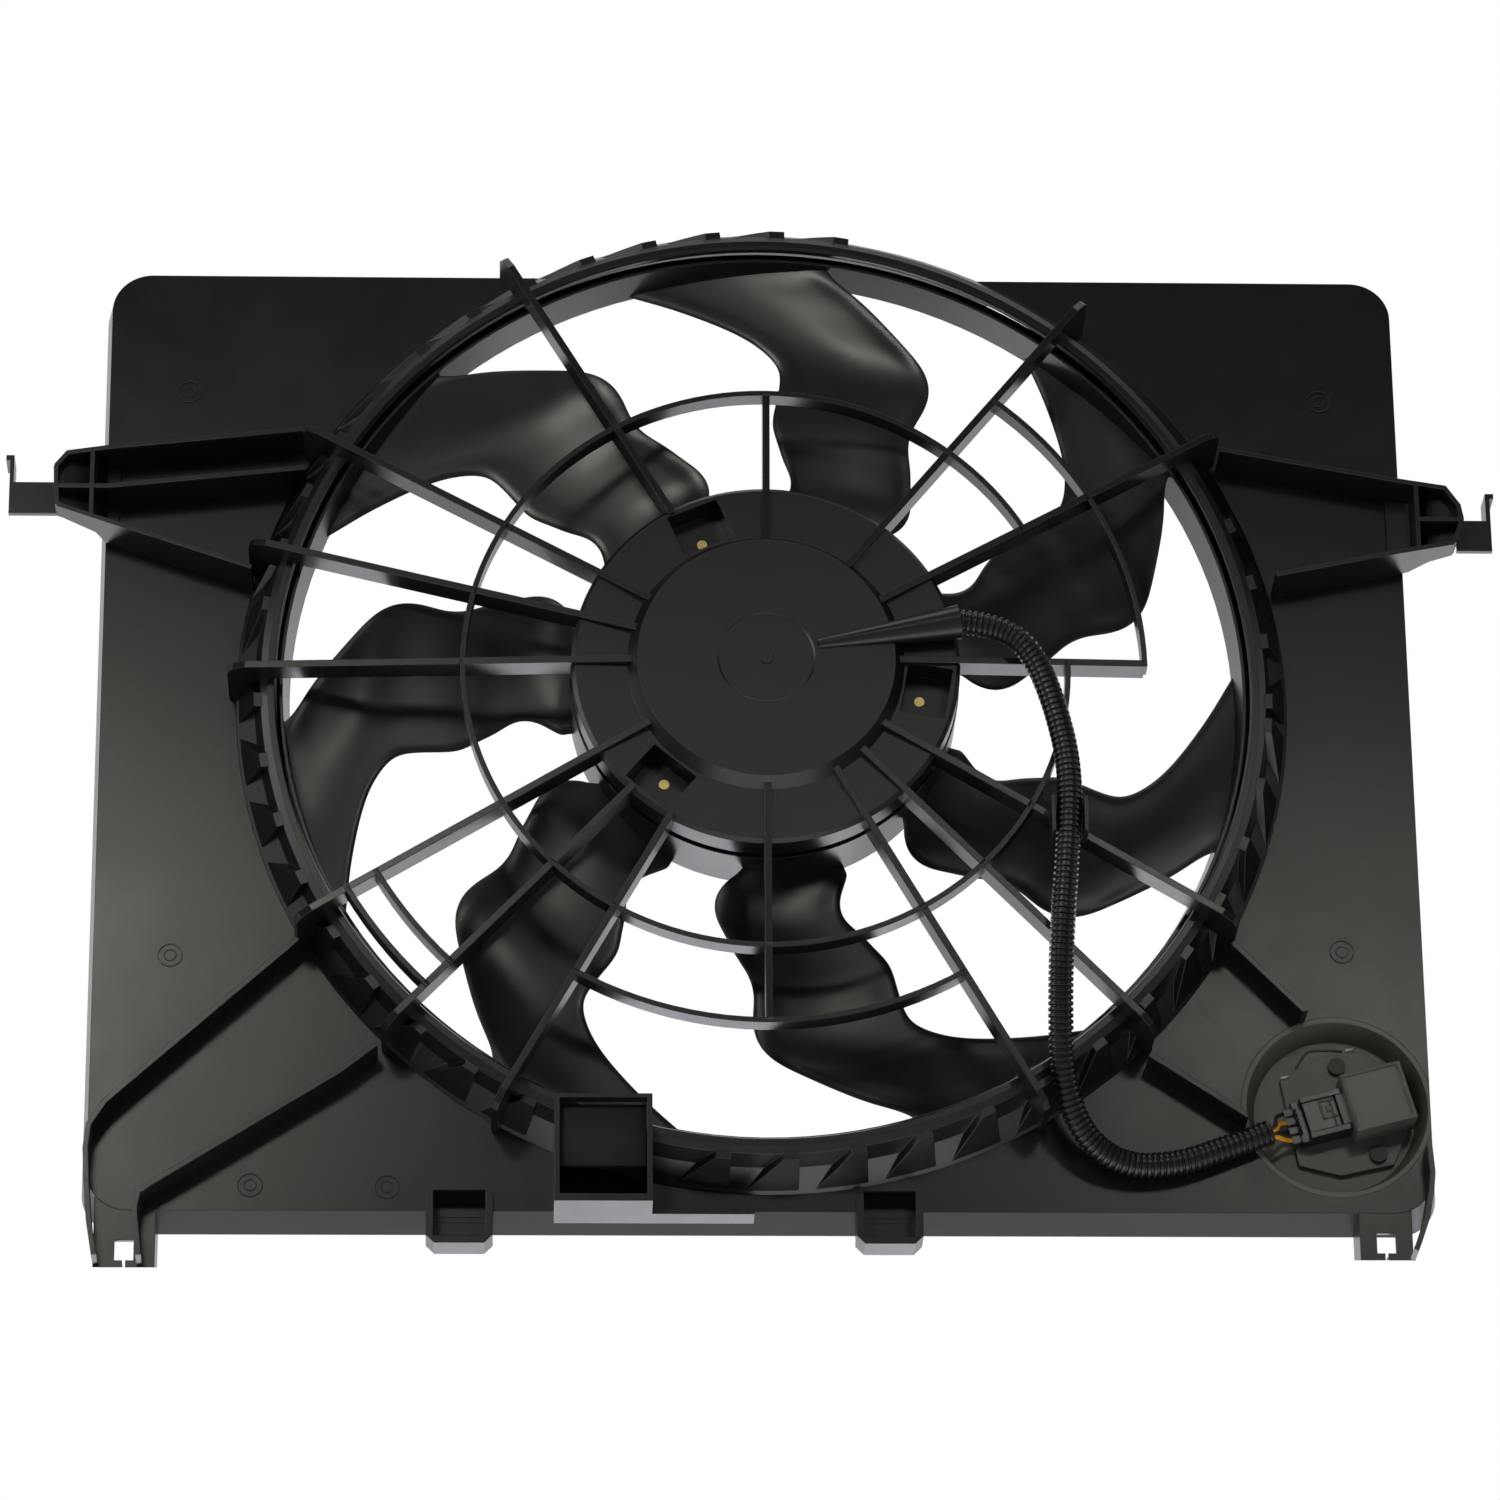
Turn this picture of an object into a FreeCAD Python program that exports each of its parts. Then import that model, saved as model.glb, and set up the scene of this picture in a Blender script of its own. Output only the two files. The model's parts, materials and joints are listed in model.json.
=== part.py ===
import FreeCAD, Part
import Sketcher
import math
import os
import re
from FreeCAD import Placement, Rotation, Vector

# Radiator cooling fan: a shroud with a barrel, a guard that carries the motor, and a seven-bladed fan.
# X runs to the right, Z up. The origin is on the fan axis, in the plane that meets the radiator.
# A depth is measured from that plane towards the engine, so depth 10 lies at y = -10.

sizes = {
    # shroud panel
    "panel_left": 324,
    "panel_right": 318.8,
    "panel_top": 233.9,
    "panel_bottom": 267,
    "panel_depth": 24,
    "panel_corner": 20,
    "panel_draft": 8,
    "wall": 2.5,
    # barrel round the fan
    "barrel_base_radius": 255.2,
    "barrel_shoulder_radius": 246,
    "barrel_throat_radius": 235.3,
    "barrel_front": 48.5,
    "barrel_shoulder": 36,
    "tooth_pitch": 7.5,
    "tooth_first": 82.7,
    "tooth_count": 41,
    "tooth_front": 46.5,
    "tooth_foot_radius": 254.5,
    "tooth_tip_radius": 246,
    # fan
    "blade_count": 7,
    "band_front": 40,
    "band_back": 21,
    "band_front_radius": 232.3,
    "band_back_radius": 229.4,
    "band_wall": 1.6,
    "band_lip_radius": 237,
    "hub_radius": 94,
    "hub_front": 50,
    "hub_back": 14,
    "hub_boss_radius": 13,
    "hub_boss_front": 24,
    "hub_boss_back": 11,
    "hub_rib_count": 14,
    "blade_thickness": 2.4,
    "blade_camber": 3.5,
    "blade_lead_depth": 23.5,
    "blade_trail_depth": 36.5,
    # motor carrier in the middle of the guard
    "disc_radius": 62,
    "disc_front": 76,
    "disc_edge_radius": 66.5,
    "carrier_radius": 93.5,
    "carrier_front": 69,
    "carrier_back": 54,
    "dish_radius": 22.7,
    "dish_depth": 0.8,
    "pip_radius": 3.4,
    "pocket_inner": 67.5,
    "pocket_outer": 89,
    "pocket_width": 26,
    "pocket_floor": 54,
    # guard
    "strut_thickness": 3.4,
    "strut_depth": 13.5,
    "strut_root_front": 76.6,
    "strut_end_front": 61,
    "strut_end_radius": 250,
    "fin_radius": 258.5,
    "hoop_radius": 145.4,
    "hoop_thickness": 2.6,
    "hoop_height": 10,
    "hoop_drop": 0,
    "outer_hoop_radius": 182.7,
    # wire duct and corrugated conduit
    "conduit_diameter": 12,
    "duct_wall": 2.4,
    "duct_end": 93,
    # motor
    "can_radius": 50,
    "can_front": 67,
    "can_back": 28,
    "can_wall": 2,
    "flange_radius": 62,
    "flange_thickness": 3,
    "lug_reach": 84,
    "lug_width": 22,
    "screw_circle": 75.5,
    "screw_head_radius": 4,
    "screw_head_height": 2.8,
    "screw_shank_radius": 2.5,
    "screw_length": 10,
    "shaft_radius": 4,
    "shaft_front": 70.5,
    "shaft_back": 2.5,
    "bush_radius": 8,
    "bush_length": 6.5,
    "running_gap": 0.03,
    "core_radius": 38,
    "core_front": 51,
    "core_back": 38,
    "core_slots": 12,
    "coil_overhang": 3,
    "air_gap": 1,
    "commutator_radius": 11,
    "commutator_length": 7,
    "brush_size": 5,
    "brush_length": 12,
    # control module in its round pocket
    "module_across": 271,
    "module_down": 210,
    "module_radius": 43.2,
    "module_floor_radius": 38.5,
    "module_floor": 10,
    "module_turn": 15,
    "module_front": 30,
    "plug_front": 24,
    "latch_gap": 0.3,
    # hanger arms
    "arm_front": 50,
    "arm_wall": 2.2,
    # lower edge
    "foot_left_width": 29,
    "foot_right_width": 25,
    "foot_left_drop": 25,
    "foot_right_drop": 20,
    "foot_left_middle": 302,
    "foot_right_middle": 291.3,
    "foot_window_width": 9,
    "foot_window_height": 10,
    "foot_slit": 1.5,
    "rib_front": 39,
    "clip_width": 31.5,
    "clip_drop": 13,
    "clip_left_middle": 145.3,
    "clip_right_middle": 57.2,
    "box_left": 101,
    "box_width": 46,
    "box_top": 216,
    "box_height": 53.5,
    "box_front": 55,
    "shelf_length": 48,
    "shelf_front": 37,
}

# Fan blade stations: radius, angle of the trailing edge and angle of the leading edge, in degrees.
bladeStations = [
    (90, 59, 88.4), (100, 54.7, 87.6), (110, 52, 83.6), (120, 52.7, 82.8),
    (130, 55.6, 84.8), (140, 58.4, 86.4), (150, 61, 87.5), (160, 62, 87.2),
    (170, 62, 86.7), (180, 62.5, 86.9), (190, 64.5, 89.2), (200, 68.8, 93.1),
    (210, 73.3, 97.8), (220, 77.5, 102.3), (230, 81.2, 106.4), (240, 84.5, 110),
]

# Guard struts whose ends wrap over the barrel: angle and inner radius.
longStruts = [
    (30.2, 64), (51.7, 64), (119.5, 91), (149.7, 64), (164.65, 64), (179.7, 64),
    (210, 64), (225.4, 91), (240, 91), (300.3, 64), (314.8, 64), (330, 64),
]
# Guard struts that end on a hoop: angle, inner radius and the hoop.
shortStruts = [(0.75, 64, "outer_hoop_radius"), (89.35, 64, "hoop_radius"), (270, 64, "outer_hoop_radius")]
screwAngles = (113.2, -10.3, -130.3)

# Route of the conduit from the duct to the plug, as x, depth and z.
conduitRoute = [
    (93, 77, 18.2),
    (112, 77.5, 16.5),
    (127, 78, 3.5),
    (137, 77.5, -22),
    (144.5, 76.5, -58),
    (142, 76, -99),
    (138, 72, -143),
    (137, 64, -180),
    (138, 54, -207),
    (147, 41, -230),
    (166, 34, -243.5),
    (191, 32.5, -243),
    (216, 31.5, -234),
    (238, 30.5, -225.2),
]

doc = FreeCAD.newDocument("RadiatorCoolingFan")
sheet = doc.addObject("Spreadsheet::Sheet", "Sizes")
for row, (alias, value) in enumerate(sizes.items(), start=1):
    sheet.set("A%d" % row, alias)
    sheet.set("B%d" % row, str(value))
    sheet.setAlias("B%d" % row, alias)
doc.recompute()

nodes = []


# Reading and binding sizes

def size(alias):
    return float(sheet.get(alias))


def amount(word):
    if word.startswith("-"):
        return -amount(word[1:])
    return size(word) if word in sizes else float(word)


def number(text):
    # The value of a sum such as "panel_left - wall*2", whose terms are sizes or plain numbers.
    total, sign = 0.0, 1
    for term in str(text).split():
        if term in "+-":
            sign = 1 if term == "+" else -1
            continue
        factors = re.split(r"([*/])", term)
        value = amount(factors[0])
        for mark, factor in zip(factors[1::2], factors[2::2]):
            value = value * amount(factor) if mark == "*" else value / amount(factor)
        total += sign * value
        sign = 1
    return total


def bound(text):
    return re.sub(r"[a-z][a-z_]+", lambda hit: "Sizes." + hit.group(), str(text))


def bind(item, **settings):
    for name, text in settings.items():
        item.setExpression(name.replace("_", "."), bound(text))
    return item


def node(item, label):
    item.Label = label
    nodes.append(item)
    return item


# Primitives between two depths, and their sums and differences

def drum(name, radius, back, front, across="0", up="0"):
    item = doc.addObject("Part::Cylinder", name)
    item.Placement = Placement(Vector(), Rotation(Vector(1, 0, 0), 90))
    bind(item, Radius=radius, Height="%s - (%s)" % (front, back))
    return bind(item, Placement_Base_x=across, Placement_Base_y="-(%s)" % back, Placement_Base_z=up)


def cone(name, backRadius, frontRadius, back, front, across="0", up="0"):
    item = doc.addObject("Part::Cone", name)
    item.Placement = Placement(Vector(), Rotation(Vector(1, 0, 0), 90))
    bind(item, Radius1=backRadius, Radius2=frontRadius, Height="%s - (%s)" % (front, back))
    return bind(item, Placement_Base_x=across, Placement_Base_y="-(%s)" % back, Placement_Base_z=up)


def slab(name, left, right, bottom, top, back, front):
    item = doc.addObject("Part::Box", name)
    bind(item, Length="%s - (%s)" % (right, left), Width="%s - (%s)" % (front, back))
    bind(item, Height="%s - (%s)" % (top, bottom))
    return bind(item, Placement_Base_x=left, Placement_Base_y="-(%s)" % front, Placement_Base_z=bottom)


def fused(name, *parts):
    item = doc.addObject("Part::MultiFuse", name)
    item.Shapes = list(parts)
    item.Refine = True
    return item


def less(name, base, *tools):
    item = doc.addObject("Part::Cut", name)
    item.Base = base
    item.Tool = tools[0] if len(tools) == 1 else fused(name + "_tools", *tools)
    item.Refine = True
    return item


def shared(name, first, second):
    item = doc.addObject("Part::Common", name)
    item.Base = first
    item.Tool = second
    return item


def copied(name, source):
    item = doc.addObject("Part::Feature", name)
    item.Shape = source.Shape.copy()
    return item


def shaped(name, shape):
    item = doc.addObject("Part::Feature", name)
    item.Shape = shape
    return item


def spot(x, depth, z):
    return Vector(x, -depth, z)


def atAngle(radius, depth, angle):
    return spot(radius * math.cos(math.radians(angle)), depth, radius * math.sin(math.radians(angle)))


def plateBetween(outline, back, front):
    # A plate whose outline is given as x and z, between two depths.
    corners = [spot(x, back, z) for x, z in outline]
    return Part.Face(Part.makePolygon(corners + corners[:1])).extrude(spot(0, front - back, 0))


def radialPlate(outline, thickness, angle):
    # A plate that holds the fan axis in its plane, with its outline as radius and depth.
    corners = [spot(radius, depth, -thickness / 2) for radius, depth in outline]
    plate = Part.Face(Part.makePolygon(corners + corners[:1])).extrude(Vector(0, 0, thickness))
    plate.rotate(Vector(), Vector(0, 1, 0), -angle)
    return plate


def wallAlong(route, thickness, back, front):
    # A standing wall along a route of x and z, with round joints.
    pieces = []
    for (startX, startZ), (endX, endZ) in zip(route, route[1:]):
        length = math.hypot(endX - startX, endZ - startZ)
        piece = Part.makeBox(length, front - back, thickness, Vector(0, -front, -thickness / 2))
        piece.rotate(Vector(), Vector(0, 1, 0), -math.degrees(math.atan2(endZ - startZ, endX - startX)))
        piece.translate(Vector(startX, 0, startZ))
        pieces.append(piece)
    for x, z in route[1:-1]:
        pieces.append(Part.makeCylinder(thickness / 2, front - back, spot(x, back, z), Vector(0, -1, 0)))
    return joined(pieces)


def joined(pieces):
    return pieces[0].fuse(pieces[1:]).removeSplitter() if len(pieces) > 1 else pieces[0]


def ringWall(radius, thickness, back, front, start, end):
    # Part of a ring wall about the fan axis, from one angle to another.
    inner, outer = radius - thickness / 2, radius + thickness / 2
    outline = [(inner, back), (outer, back), (outer, front), (inner, front), (inner, back)]
    section = Part.Face(Part.makePolygon([atAngle(across, depth, start) for across, depth in outline]))
    return section.revolve(Vector(), Vector(0, -1, 0), end - start)


# Turned pieces: a closed outline of radius and depth, revolved about the fan axis

def originPlane(body, role):
    return [part for part in body.Origin.OriginFeatures if part.Role == role][0]


def turned(name, corners):
    body = doc.addObject("PartDesign::Body", name)
    sketch = body.newObject("Sketcher::SketchObject", name + "_outline")
    sketch.AttachmentSupport = [(originPlane(body, "XY_Plane"), "")]
    sketch.MapMode = "FlatFace"
    sketch.AttachmentOffset = Placement(Vector(), Rotation(Vector(1, 0, 0), 180))
    spots = [Vector(number(radius), number(depth), 0) for radius, depth in corners]
    count = len(spots)
    for index in range(count):
        sketch.addGeometry(Part.LineSegment(spots[index], spots[(index + 1) % count]), False)
    for index in range(count):
        sketch.addConstraint(Sketcher.Constraint("Coincident", index, 2, (index + 1) % count, 1))
    for index, (radius, depth) in enumerate(corners):
        for kind, text, value in (("DistanceX", radius, spots[index].x), ("DistanceY", depth, spots[index].y)):
            place = sketch.addConstraint(Sketcher.Constraint(kind, -1, 1, index, 1, value))
            sketch.setExpression("Constraints[%d]" % place, bound(text))
    revolution = body.newObject("PartDesign::Revolution", name + "_turning")
    revolution.Profile = sketch
    revolution.ReferenceAxis = (sketch, ["V_Axis"])
    revolution.Angle = 360
    return body


def rectangle(body, name, left, right, bottom, top):
    sketch = body.newObject("Sketcher::SketchObject", name)
    sketch.AttachmentSupport = [(originPlane(body, "XZ_Plane"), "")]
    sketch.MapMode = "FlatFace"
    corners = [(left, bottom), (right, bottom), (right, top), (left, top)]
    spots = [Vector(number(x), number(z), 0) for x, z in corners]
    for index in range(4):
        sketch.addGeometry(Part.LineSegment(spots[index], spots[(index + 1) % 4]), False)
    for index in range(4):
        sketch.addConstraint(Sketcher.Constraint("Coincident", index, 2, (index + 1) % 4, 1))
        sketch.addConstraint(Sketcher.Constraint("Vertical" if index % 2 else "Horizontal", index))
    for index in (0, 2):
        for kind, text, value in (("DistanceX", corners[index][0], spots[index].x),
                                  ("DistanceY", corners[index][1], spots[index].y)):
            place = sketch.addConstraint(Sketcher.Constraint(kind, -1, 1, index, 1, value))
            sketch.setExpression("Constraints[%d]" % place, bound(text))
    return sketch


def cornerEdges(shape, reach):
    # The slanted edges that run from the back of a tray through the given depth.
    names = []
    for index, edge in enumerate(shape.Edges, start=1):
        depths = sorted(-vertex.Point.y for vertex in edge.Vertexes)
        if len(depths) == 2 and depths[0] < 0.01 and abs(depths[1] - reach) < 0.01:
            names.append("Edge%d" % index)
    return names


# Shroud panel: a drafted tray that is open towards the radiator, with the barrel's opening in it

panelBody = doc.addObject("PartDesign::Body", "panel_tray")
panelPad = panelBody.newObject("PartDesign::Pad", "panel_outside")
panelPad.Profile = rectangle(panelBody, "panel_outline", "-panel_left", "panel_right", "-panel_bottom", "panel_top")
bind(panelPad, Length="panel_depth", TaperAngle="-panel_draft")
doc.recompute()
outerCorners = cornerEdges(panelPad.Shape, size("panel_depth"))
cornerShapes = [panelPad.Shape.getElement(name) for name in outerCorners]
panelCore = shaped("panel_core", panelPad.Shape.makeFillet(size("panel_corner"), cornerShapes))
panelHollow = panelBody.newObject("PartDesign::Pocket", "panel_inside")
panelHollow.Profile = rectangle(panelBody, "panel_hollow", "-panel_left + wall", "panel_right - wall",
                                "-panel_bottom + wall", "panel_top - wall")
panelHollow.Reversed = True
bind(panelHollow, Length="panel_depth - wall", TaperAngle="-panel_draft")
doc.recompute()
panelInner = panelBody.newObject("PartDesign::Fillet", "panel_inner_corners")
panelInner.Base = (panelHollow, cornerEdges(panelHollow.Shape, size("panel_depth") - size("wall")))
bind(panelInner, Radius="panel_corner - wall")
doc.recompute()
panelRound = panelBody.newObject("PartDesign::Fillet", "panel_corners")
panelRound.Base = (panelInner, cornerEdges(panelInner.Shape, size("panel_depth")))
bind(panelRound, Radius="panel_corner")
barrelHole = drum("barrel_hole", "barrel_base_radius", "0 - wall", "panel_depth + wall")
cupOutside = cone("cup_outside", "module_floor_radius + wall", "module_radius + wall",
                  "module_floor - wall", "panel_depth", "module_across", "-module_down")
cupInside = cone("cup_inside", "module_floor_radius", "module_radius",
                 "module_floor", "panel_depth", "module_across", "-module_down")
clipSlots = [
    slab("clip_slot_%d" % place, "%s - clip_width/2 + wall*1.4" % middle, "%s + clip_width/2 - wall*1.4" % middle,
         "-panel_bottom - wall", "-panel_bottom + wall*5.6", "wall*5", "panel_depth + wall")
    for place, middle in enumerate(("-clip_left_middle", "clip_right_middle"), start=1)
]
panel = node(less("panel_cut", panelBody, barrelHole, cupOutside, *clipSlots), "shroud_panel")
node(shared("cup_in_panel", less("cup_shell", cupOutside, cupInside), panelCore), "module_pocket")

# Barrel: a sloping ring round the fan, with a skirt where it stands above the panel, and a row of teeth

barrelOutside = [
    ("barrel_base_radius", "panel_depth"),
    ("barrel_shoulder_radius", "barrel_shoulder"),
    ("barrel_throat_radius + wall*3", "barrel_front - wall"),
    ("barrel_throat_radius + wall*1.6", "barrel_front"),
]
barrelInside = [
    ("barrel_throat_radius + wall*0.4", "barrel_front"),
    ("barrel_throat_radius", "barrel_front - wall*0.6"),
    ("barrel_throat_radius", "barrel_front - wall*1.8"),
    ("barrel_throat_radius + wall*1.8", "barrel_front - wall*2"),
    ("barrel_shoulder_radius - wall", "barrel_shoulder"),
    ("barrel_base_radius - wall", "panel_depth"),
    ("barrel_base_radius - wall", "panel_depth - wall"),
]
barrelShell = turned("barrel_shell", [("barrel_base_radius", "panel_depth - wall")] + barrelOutside + barrelInside)
barrelCore = turned("barrel_core", [("0", "0"), ("barrel_base_radius", "0")] + barrelOutside + [("0", "barrel_front")])
skirtRing = less("skirt_ring", drum("skirt_outside", "barrel_base_radius", "0", "panel_depth - wall"),
                 drum("skirt_inside", "barrel_base_radius - wall", "0 - wall", "panel_depth"))
skirt = shared("barrel_skirt", skirtRing,
               slab("skirt_reach", "-panel_left", "panel_right", "panel_top - wall*2.6",
                    "barrel_base_radius + wall", "0", "panel_depth"))


def tooth(angle):
    # A wedge on the barrel that rises to the right and ends in a step.
    lean = -1 if math.sin(math.radians(angle)) > 0 else 1
    half = math.pi * size("barrel_base_radius") * size("tooth_pitch") / 360 * 0.8
    back, front = size("panel_depth"), size("tooth_front")
    outline = [(-half, back), (half, back), (half, front), (half * 0.45, front)]
    inner, outer = size("barrel_throat_radius"), size("barrel_base_radius") - 0.4
    corners = [spot(inner, depth, across * lean) for across, depth in outline]
    wedge = Part.Face(Part.makePolygon(corners + corners[:1])).extrude(Vector(outer - inner, 0, 0))
    wedge.rotate(Vector(), Vector(0, 1, 0), -angle)
    return wedge


toothAngles = [size("tooth_first") + index * size("tooth_pitch") for index in range(int(size("tooth_count")))]
teeth = [tooth(angle) for angle in toothAngles if not 245 < angle < 258]
teethRaw = shared("teeth_in_cone", shaped("teeth_raw", Part.makeCompound(teeth)),
                  cone("tooth_outside", "tooth_foot_radius", "tooth_tip_radius", "panel_depth", "tooth_front"))
teeth = less("barrel_teeth", teethRaw, barrelCore)
barrel = node(fused("barrel_all", barrelShell, skirt, teeth), "fan_barrel")

# Motor carrier: a stepped bowl with three screw pockets and the wire duct

carrierBowl = turned("carrier_bowl", [
    ("0", "disc_front - dish_depth"), ("dish_radius", "disc_front - dish_depth"),
    ("dish_radius + dish_depth", "disc_front"), ("disc_radius", "disc_front"),
    ("disc_edge_radius", "carrier_front"), ("carrier_radius - wall*0.8", "carrier_front"),
    ("carrier_radius", "carrier_front - wall*0.8"), ("carrier_radius", "carrier_back"),
    ("carrier_radius - wall", "carrier_back"), ("carrier_radius - wall", "carrier_front - wall"),
    ("disc_edge_radius - wall*0.64", "carrier_front - wall"), ("disc_radius - wall*0.64", "disc_front - wall"),
    ("0", "disc_front - wall"),
])


def radialBlock(angle, inner, outer, width, back, front):
    return radialPlate([(inner, back), (outer, back), (outer, front), (inner, front)], width, angle)


pocketWall = size("wall") * 0.7
pocketFloor, carrierFront = size("pocket_floor"), size("carrier_front")
lugFront = pocketFloor - size("wall")
pocketBoxes = [radialBlock(angle, size("pocket_inner") - pocketWall, size("pocket_outer") + pocketWall,
                           size("pocket_width") + 2 * pocketWall, lugFront, carrierFront) for angle in screwAngles]
pocketHollows = [radialBlock(angle, size("pocket_inner"), size("pocket_outer"), size("pocket_width"),
                             pocketFloor, carrierFront + 1) for angle in screwAngles]
screwPlaces = [atAngle(size("screw_circle"), 0, angle) for angle in screwAngles]
screwShank, screwHead = size("screw_shank_radius"), size("screw_head_radius")
screwBack = pocketFloor - size("screw_length")


def bored(radius, back, front):
    return [Part.makeCylinder(radius, front - back, place + spot(0, back, 0), Vector(0, -1, 0))
            for place in screwPlaces]


ductFrom, ductTo = spot(25, 76, 6.7), spot(size("duct_end"), 77, 18.2)
ductReach = ductTo - ductFrom
leadBore = size("conduit_diameter") / 2 - 1.4
ductOutside = shaped("duct_outside", Part.makeCone(2.6, size("conduit_diameter") / 2 + size("duct_wall"),
                                                   ductReach.Length, ductFrom, ductReach))
ductInside = shaped("duct_inside", Part.makeCone(1.4, leadBore, ductReach.Length + 0.5, ductFrom, ductReach))
leadDrop = ductTo - Vector(ductReach).normalize() * 40
leadHole = shaped("lead_hole", Part.makeCylinder(2.8, 8, leadDrop, Vector(0, 1, 0)))
carrierOpen = less("carrier_open", fused("carrier_solid", carrierBowl, shaped("pocket_boxes", joined(pocketBoxes)),
                                         ductOutside),
                   shaped("pocket_hollows", Part.makeCompound(pocketHollows)),
                   shaped("screw_holes", Part.makeCompound(bored(screwShank + 0.2, lugFront - 1, pocketFloor + 1))),
                   ductInside, leadHole)
carrier = node(fused("carrier_all", carrierOpen,
                     drum("carrier_pip", "pip_radius", "disc_front - wall", "disc_front + dish_depth*0.5")),
               "motor_carrier")

# Guard: hoops and radial struts between the carrier and the barrel


def frontAt(radius):
    # The guard slopes back in a straight line from the fan axis to the barrel.
    root, end = size("strut_root_front"), size("strut_end_front")
    return root + (end - root) * radius / size("strut_end_radius")


def hoop(radius, start, end):
    front = frontAt(radius) - size("hoop_drop")
    return ringWall(radius, size("hoop_thickness"), front - size("hoop_height"), front, start, end)


innerHoop = node(shaped("inner_hoop", hoop(size("hoop_radius"), 29.7, 361.3)), "guard_hoop_inner")
outerRadius = size("outer_hoop_radius")
outerHoops = [hoop(outerRadius, 0.3, 52.1), hoop(outerRadius, 239.6, 300.7),
              hoop(214, 209.7, 225.7), hoop(230, 209.7, 225.7)]
outerHoop = node(shaped("outer_hoops", Part.makeCompound(outerHoops)), "guard_hoops_outer")


def strut(angle, inner, outer, tail):
    wallMiddle = size("carrier_radius") - size("wall") / 2
    drop, plate = size("strut_depth"), carrierFront - 1
    outline = [(inner + 1.4, plate), (inner - 0.6, frontAt(inner)), (outer, frontAt(outer))]
    outline += tail + [(wallMiddle, frontAt(wallMiddle) - drop), (wallMiddle, plate)]
    return radialPlate(outline, size("strut_thickness"), angle)


throat, base, shoulder = (size("barrel_%s_radius" % part) for part in ("throat", "base", "shoulder"))
fin, strutEnd, panelFace = size("fin_radius"), size("strut_end_radius"), size("panel_depth")
overBarrel = [
    (fin - 2.5, frontAt(strutEnd) - 2.5), (fin, frontAt(strutEnd) - 7), (fin, panelFace), (base - 1.2, panelFace),
    (shoulder - 1.2, size("barrel_shoulder")), (throat + 5.6, size("barrel_front") - 3),
    (throat + 3.2, size("barrel_front") - 1.3), (throat + 0.8, size("barrel_front") - 1.3),
    (throat + 0.8, frontAt(throat) - size("strut_depth")),
]
strutPlates = [strut(angle, inner, strutEnd, overBarrel) for angle, inner in longStruts]
for angle, inner, hoopSize in shortStruts:
    outer = size(hoopSize)
    strutPlates.append(strut(angle, inner, outer, [(outer, frontAt(outer) - size("strut_depth"))]))
struts = node(less("strut_plates", shaped("struts_raw", Part.makeCompound(strutPlates)),
                   carrier, innerHoop, outerHoop, barrel), "guard_struts")

# Hanger arms: open cells that stand out at each side, each with a hook

armWall, armFront = size("arm_wall"), size("arm_front")
leftArm = {
    "top": [(-344.2, 112.4), (-338.6, 119.5), (-319.3, 122.4), (-224.4, 133)],
    "end": [(-344.2, 112.4), (-343.9, 101.5), (-343, 91.5)],
    "bottom": [(-343, 91.5), (-302.5, 77.1), (-248, 58.2)],
    "middle": [(-343.9, 101.5), (-318, 101.5), (-222.7, 112)],
    "cross": [(-326.5, 120.5), (-326.5, 86.2)],
}
leftTray = [(-344.2, 112.4), (-338.6, 119.5), (-314, 122.9), (-314, 81), (-343, 91.5)]
leftSlope = [(-314, 24), (-320, 25), (-325, 34), (-341, 38.5), (-346, 38.5)]
leftHook = [(-365.3, -343.2, 91.2, 108, 37, 40), (-367.3, -365.3, 91.2, 106, 37, 40),
            (-367.3, -365.3, 106, 122.6, 25, 40), (-369.3, -367.3, 120, 122.6, 25, 40)]
rightArm = {
    "top": [(225, 125.2), (312.4, 108.6), (334.6, 105), (341, 95.5), (342.3, 87.9)],
    "end": [(342.3, 87.9), (337.9, 75.3)],
    "bottom": [(337.9, 75.3), (308.3, 69.7), (250, 57.4)],
    "middle": [(342.3, 87.9), (320.5, 88)],
    "cross": [(320.5, 106.5), (320.5, 72.7)],
}
rightTray = [(308, 109.4), (334.6, 105), (341, 95.5), (342.3, 87.9), (337.9, 75.3), (308, 69.6)]
rightSlope = [(308, 24), (318, 26), (327, 34), (337, 37), (344, 37)]
rightHook = [(340.5, 355.7, 75.4, 91.8, 37, 40), (355.7, 357.9, 75.4, 90, 37, 40),
             (355.7, 357.9, 90, 106.5, 25, 40), (357.9, 359.9, 104, 106.5, 25, 40)]


def upright(outline, bottom, top):
    # A prism that stands along Z, with its outline as x and depth.
    corners = [spot(x, depth, bottom) for x, depth in outline]
    return Part.Face(Part.makePolygon(corners + corners[:1])).extrude(Vector(0, 0, top - bottom))


def arm(name, walls, tray, slope, plates):
    # The back of the arm rises along the slope, with a floor on it.
    behind = upright(slope + [(slope[-1][0], 0), (slope[0][0], 0)], 50, 140)
    floor = upright(slope + [(x, depth + size("wall")) for x, depth in reversed(slope)], 50, 140)
    pieces = [wallAlong(route, armWall, panelFace, armFront).cut(behind) for route in walls.values()]
    pieces.append(plateBetween(tray, panelFace, armFront).common(floor))
    for left, right, bottom, top, back, front in plates:
        pieces.append(Part.makeBox(right - left, front - back, top - bottom, Vector(left, -front, bottom)))
    return less(name + "_cut", shaped(name + "_raw", joined(pieces)), barrelCore, barrel, struts)


node(arm("left_arm", leftArm, leftTray, leftSlope, leftHook), "hanger_arm_left")
node(arm("right_arm", rightArm, rightTray, rightSlope, rightHook), "hanger_arm_right")

# Lower edge: feet, clip boxes, the bracket box and the ribs on the panel


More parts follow.
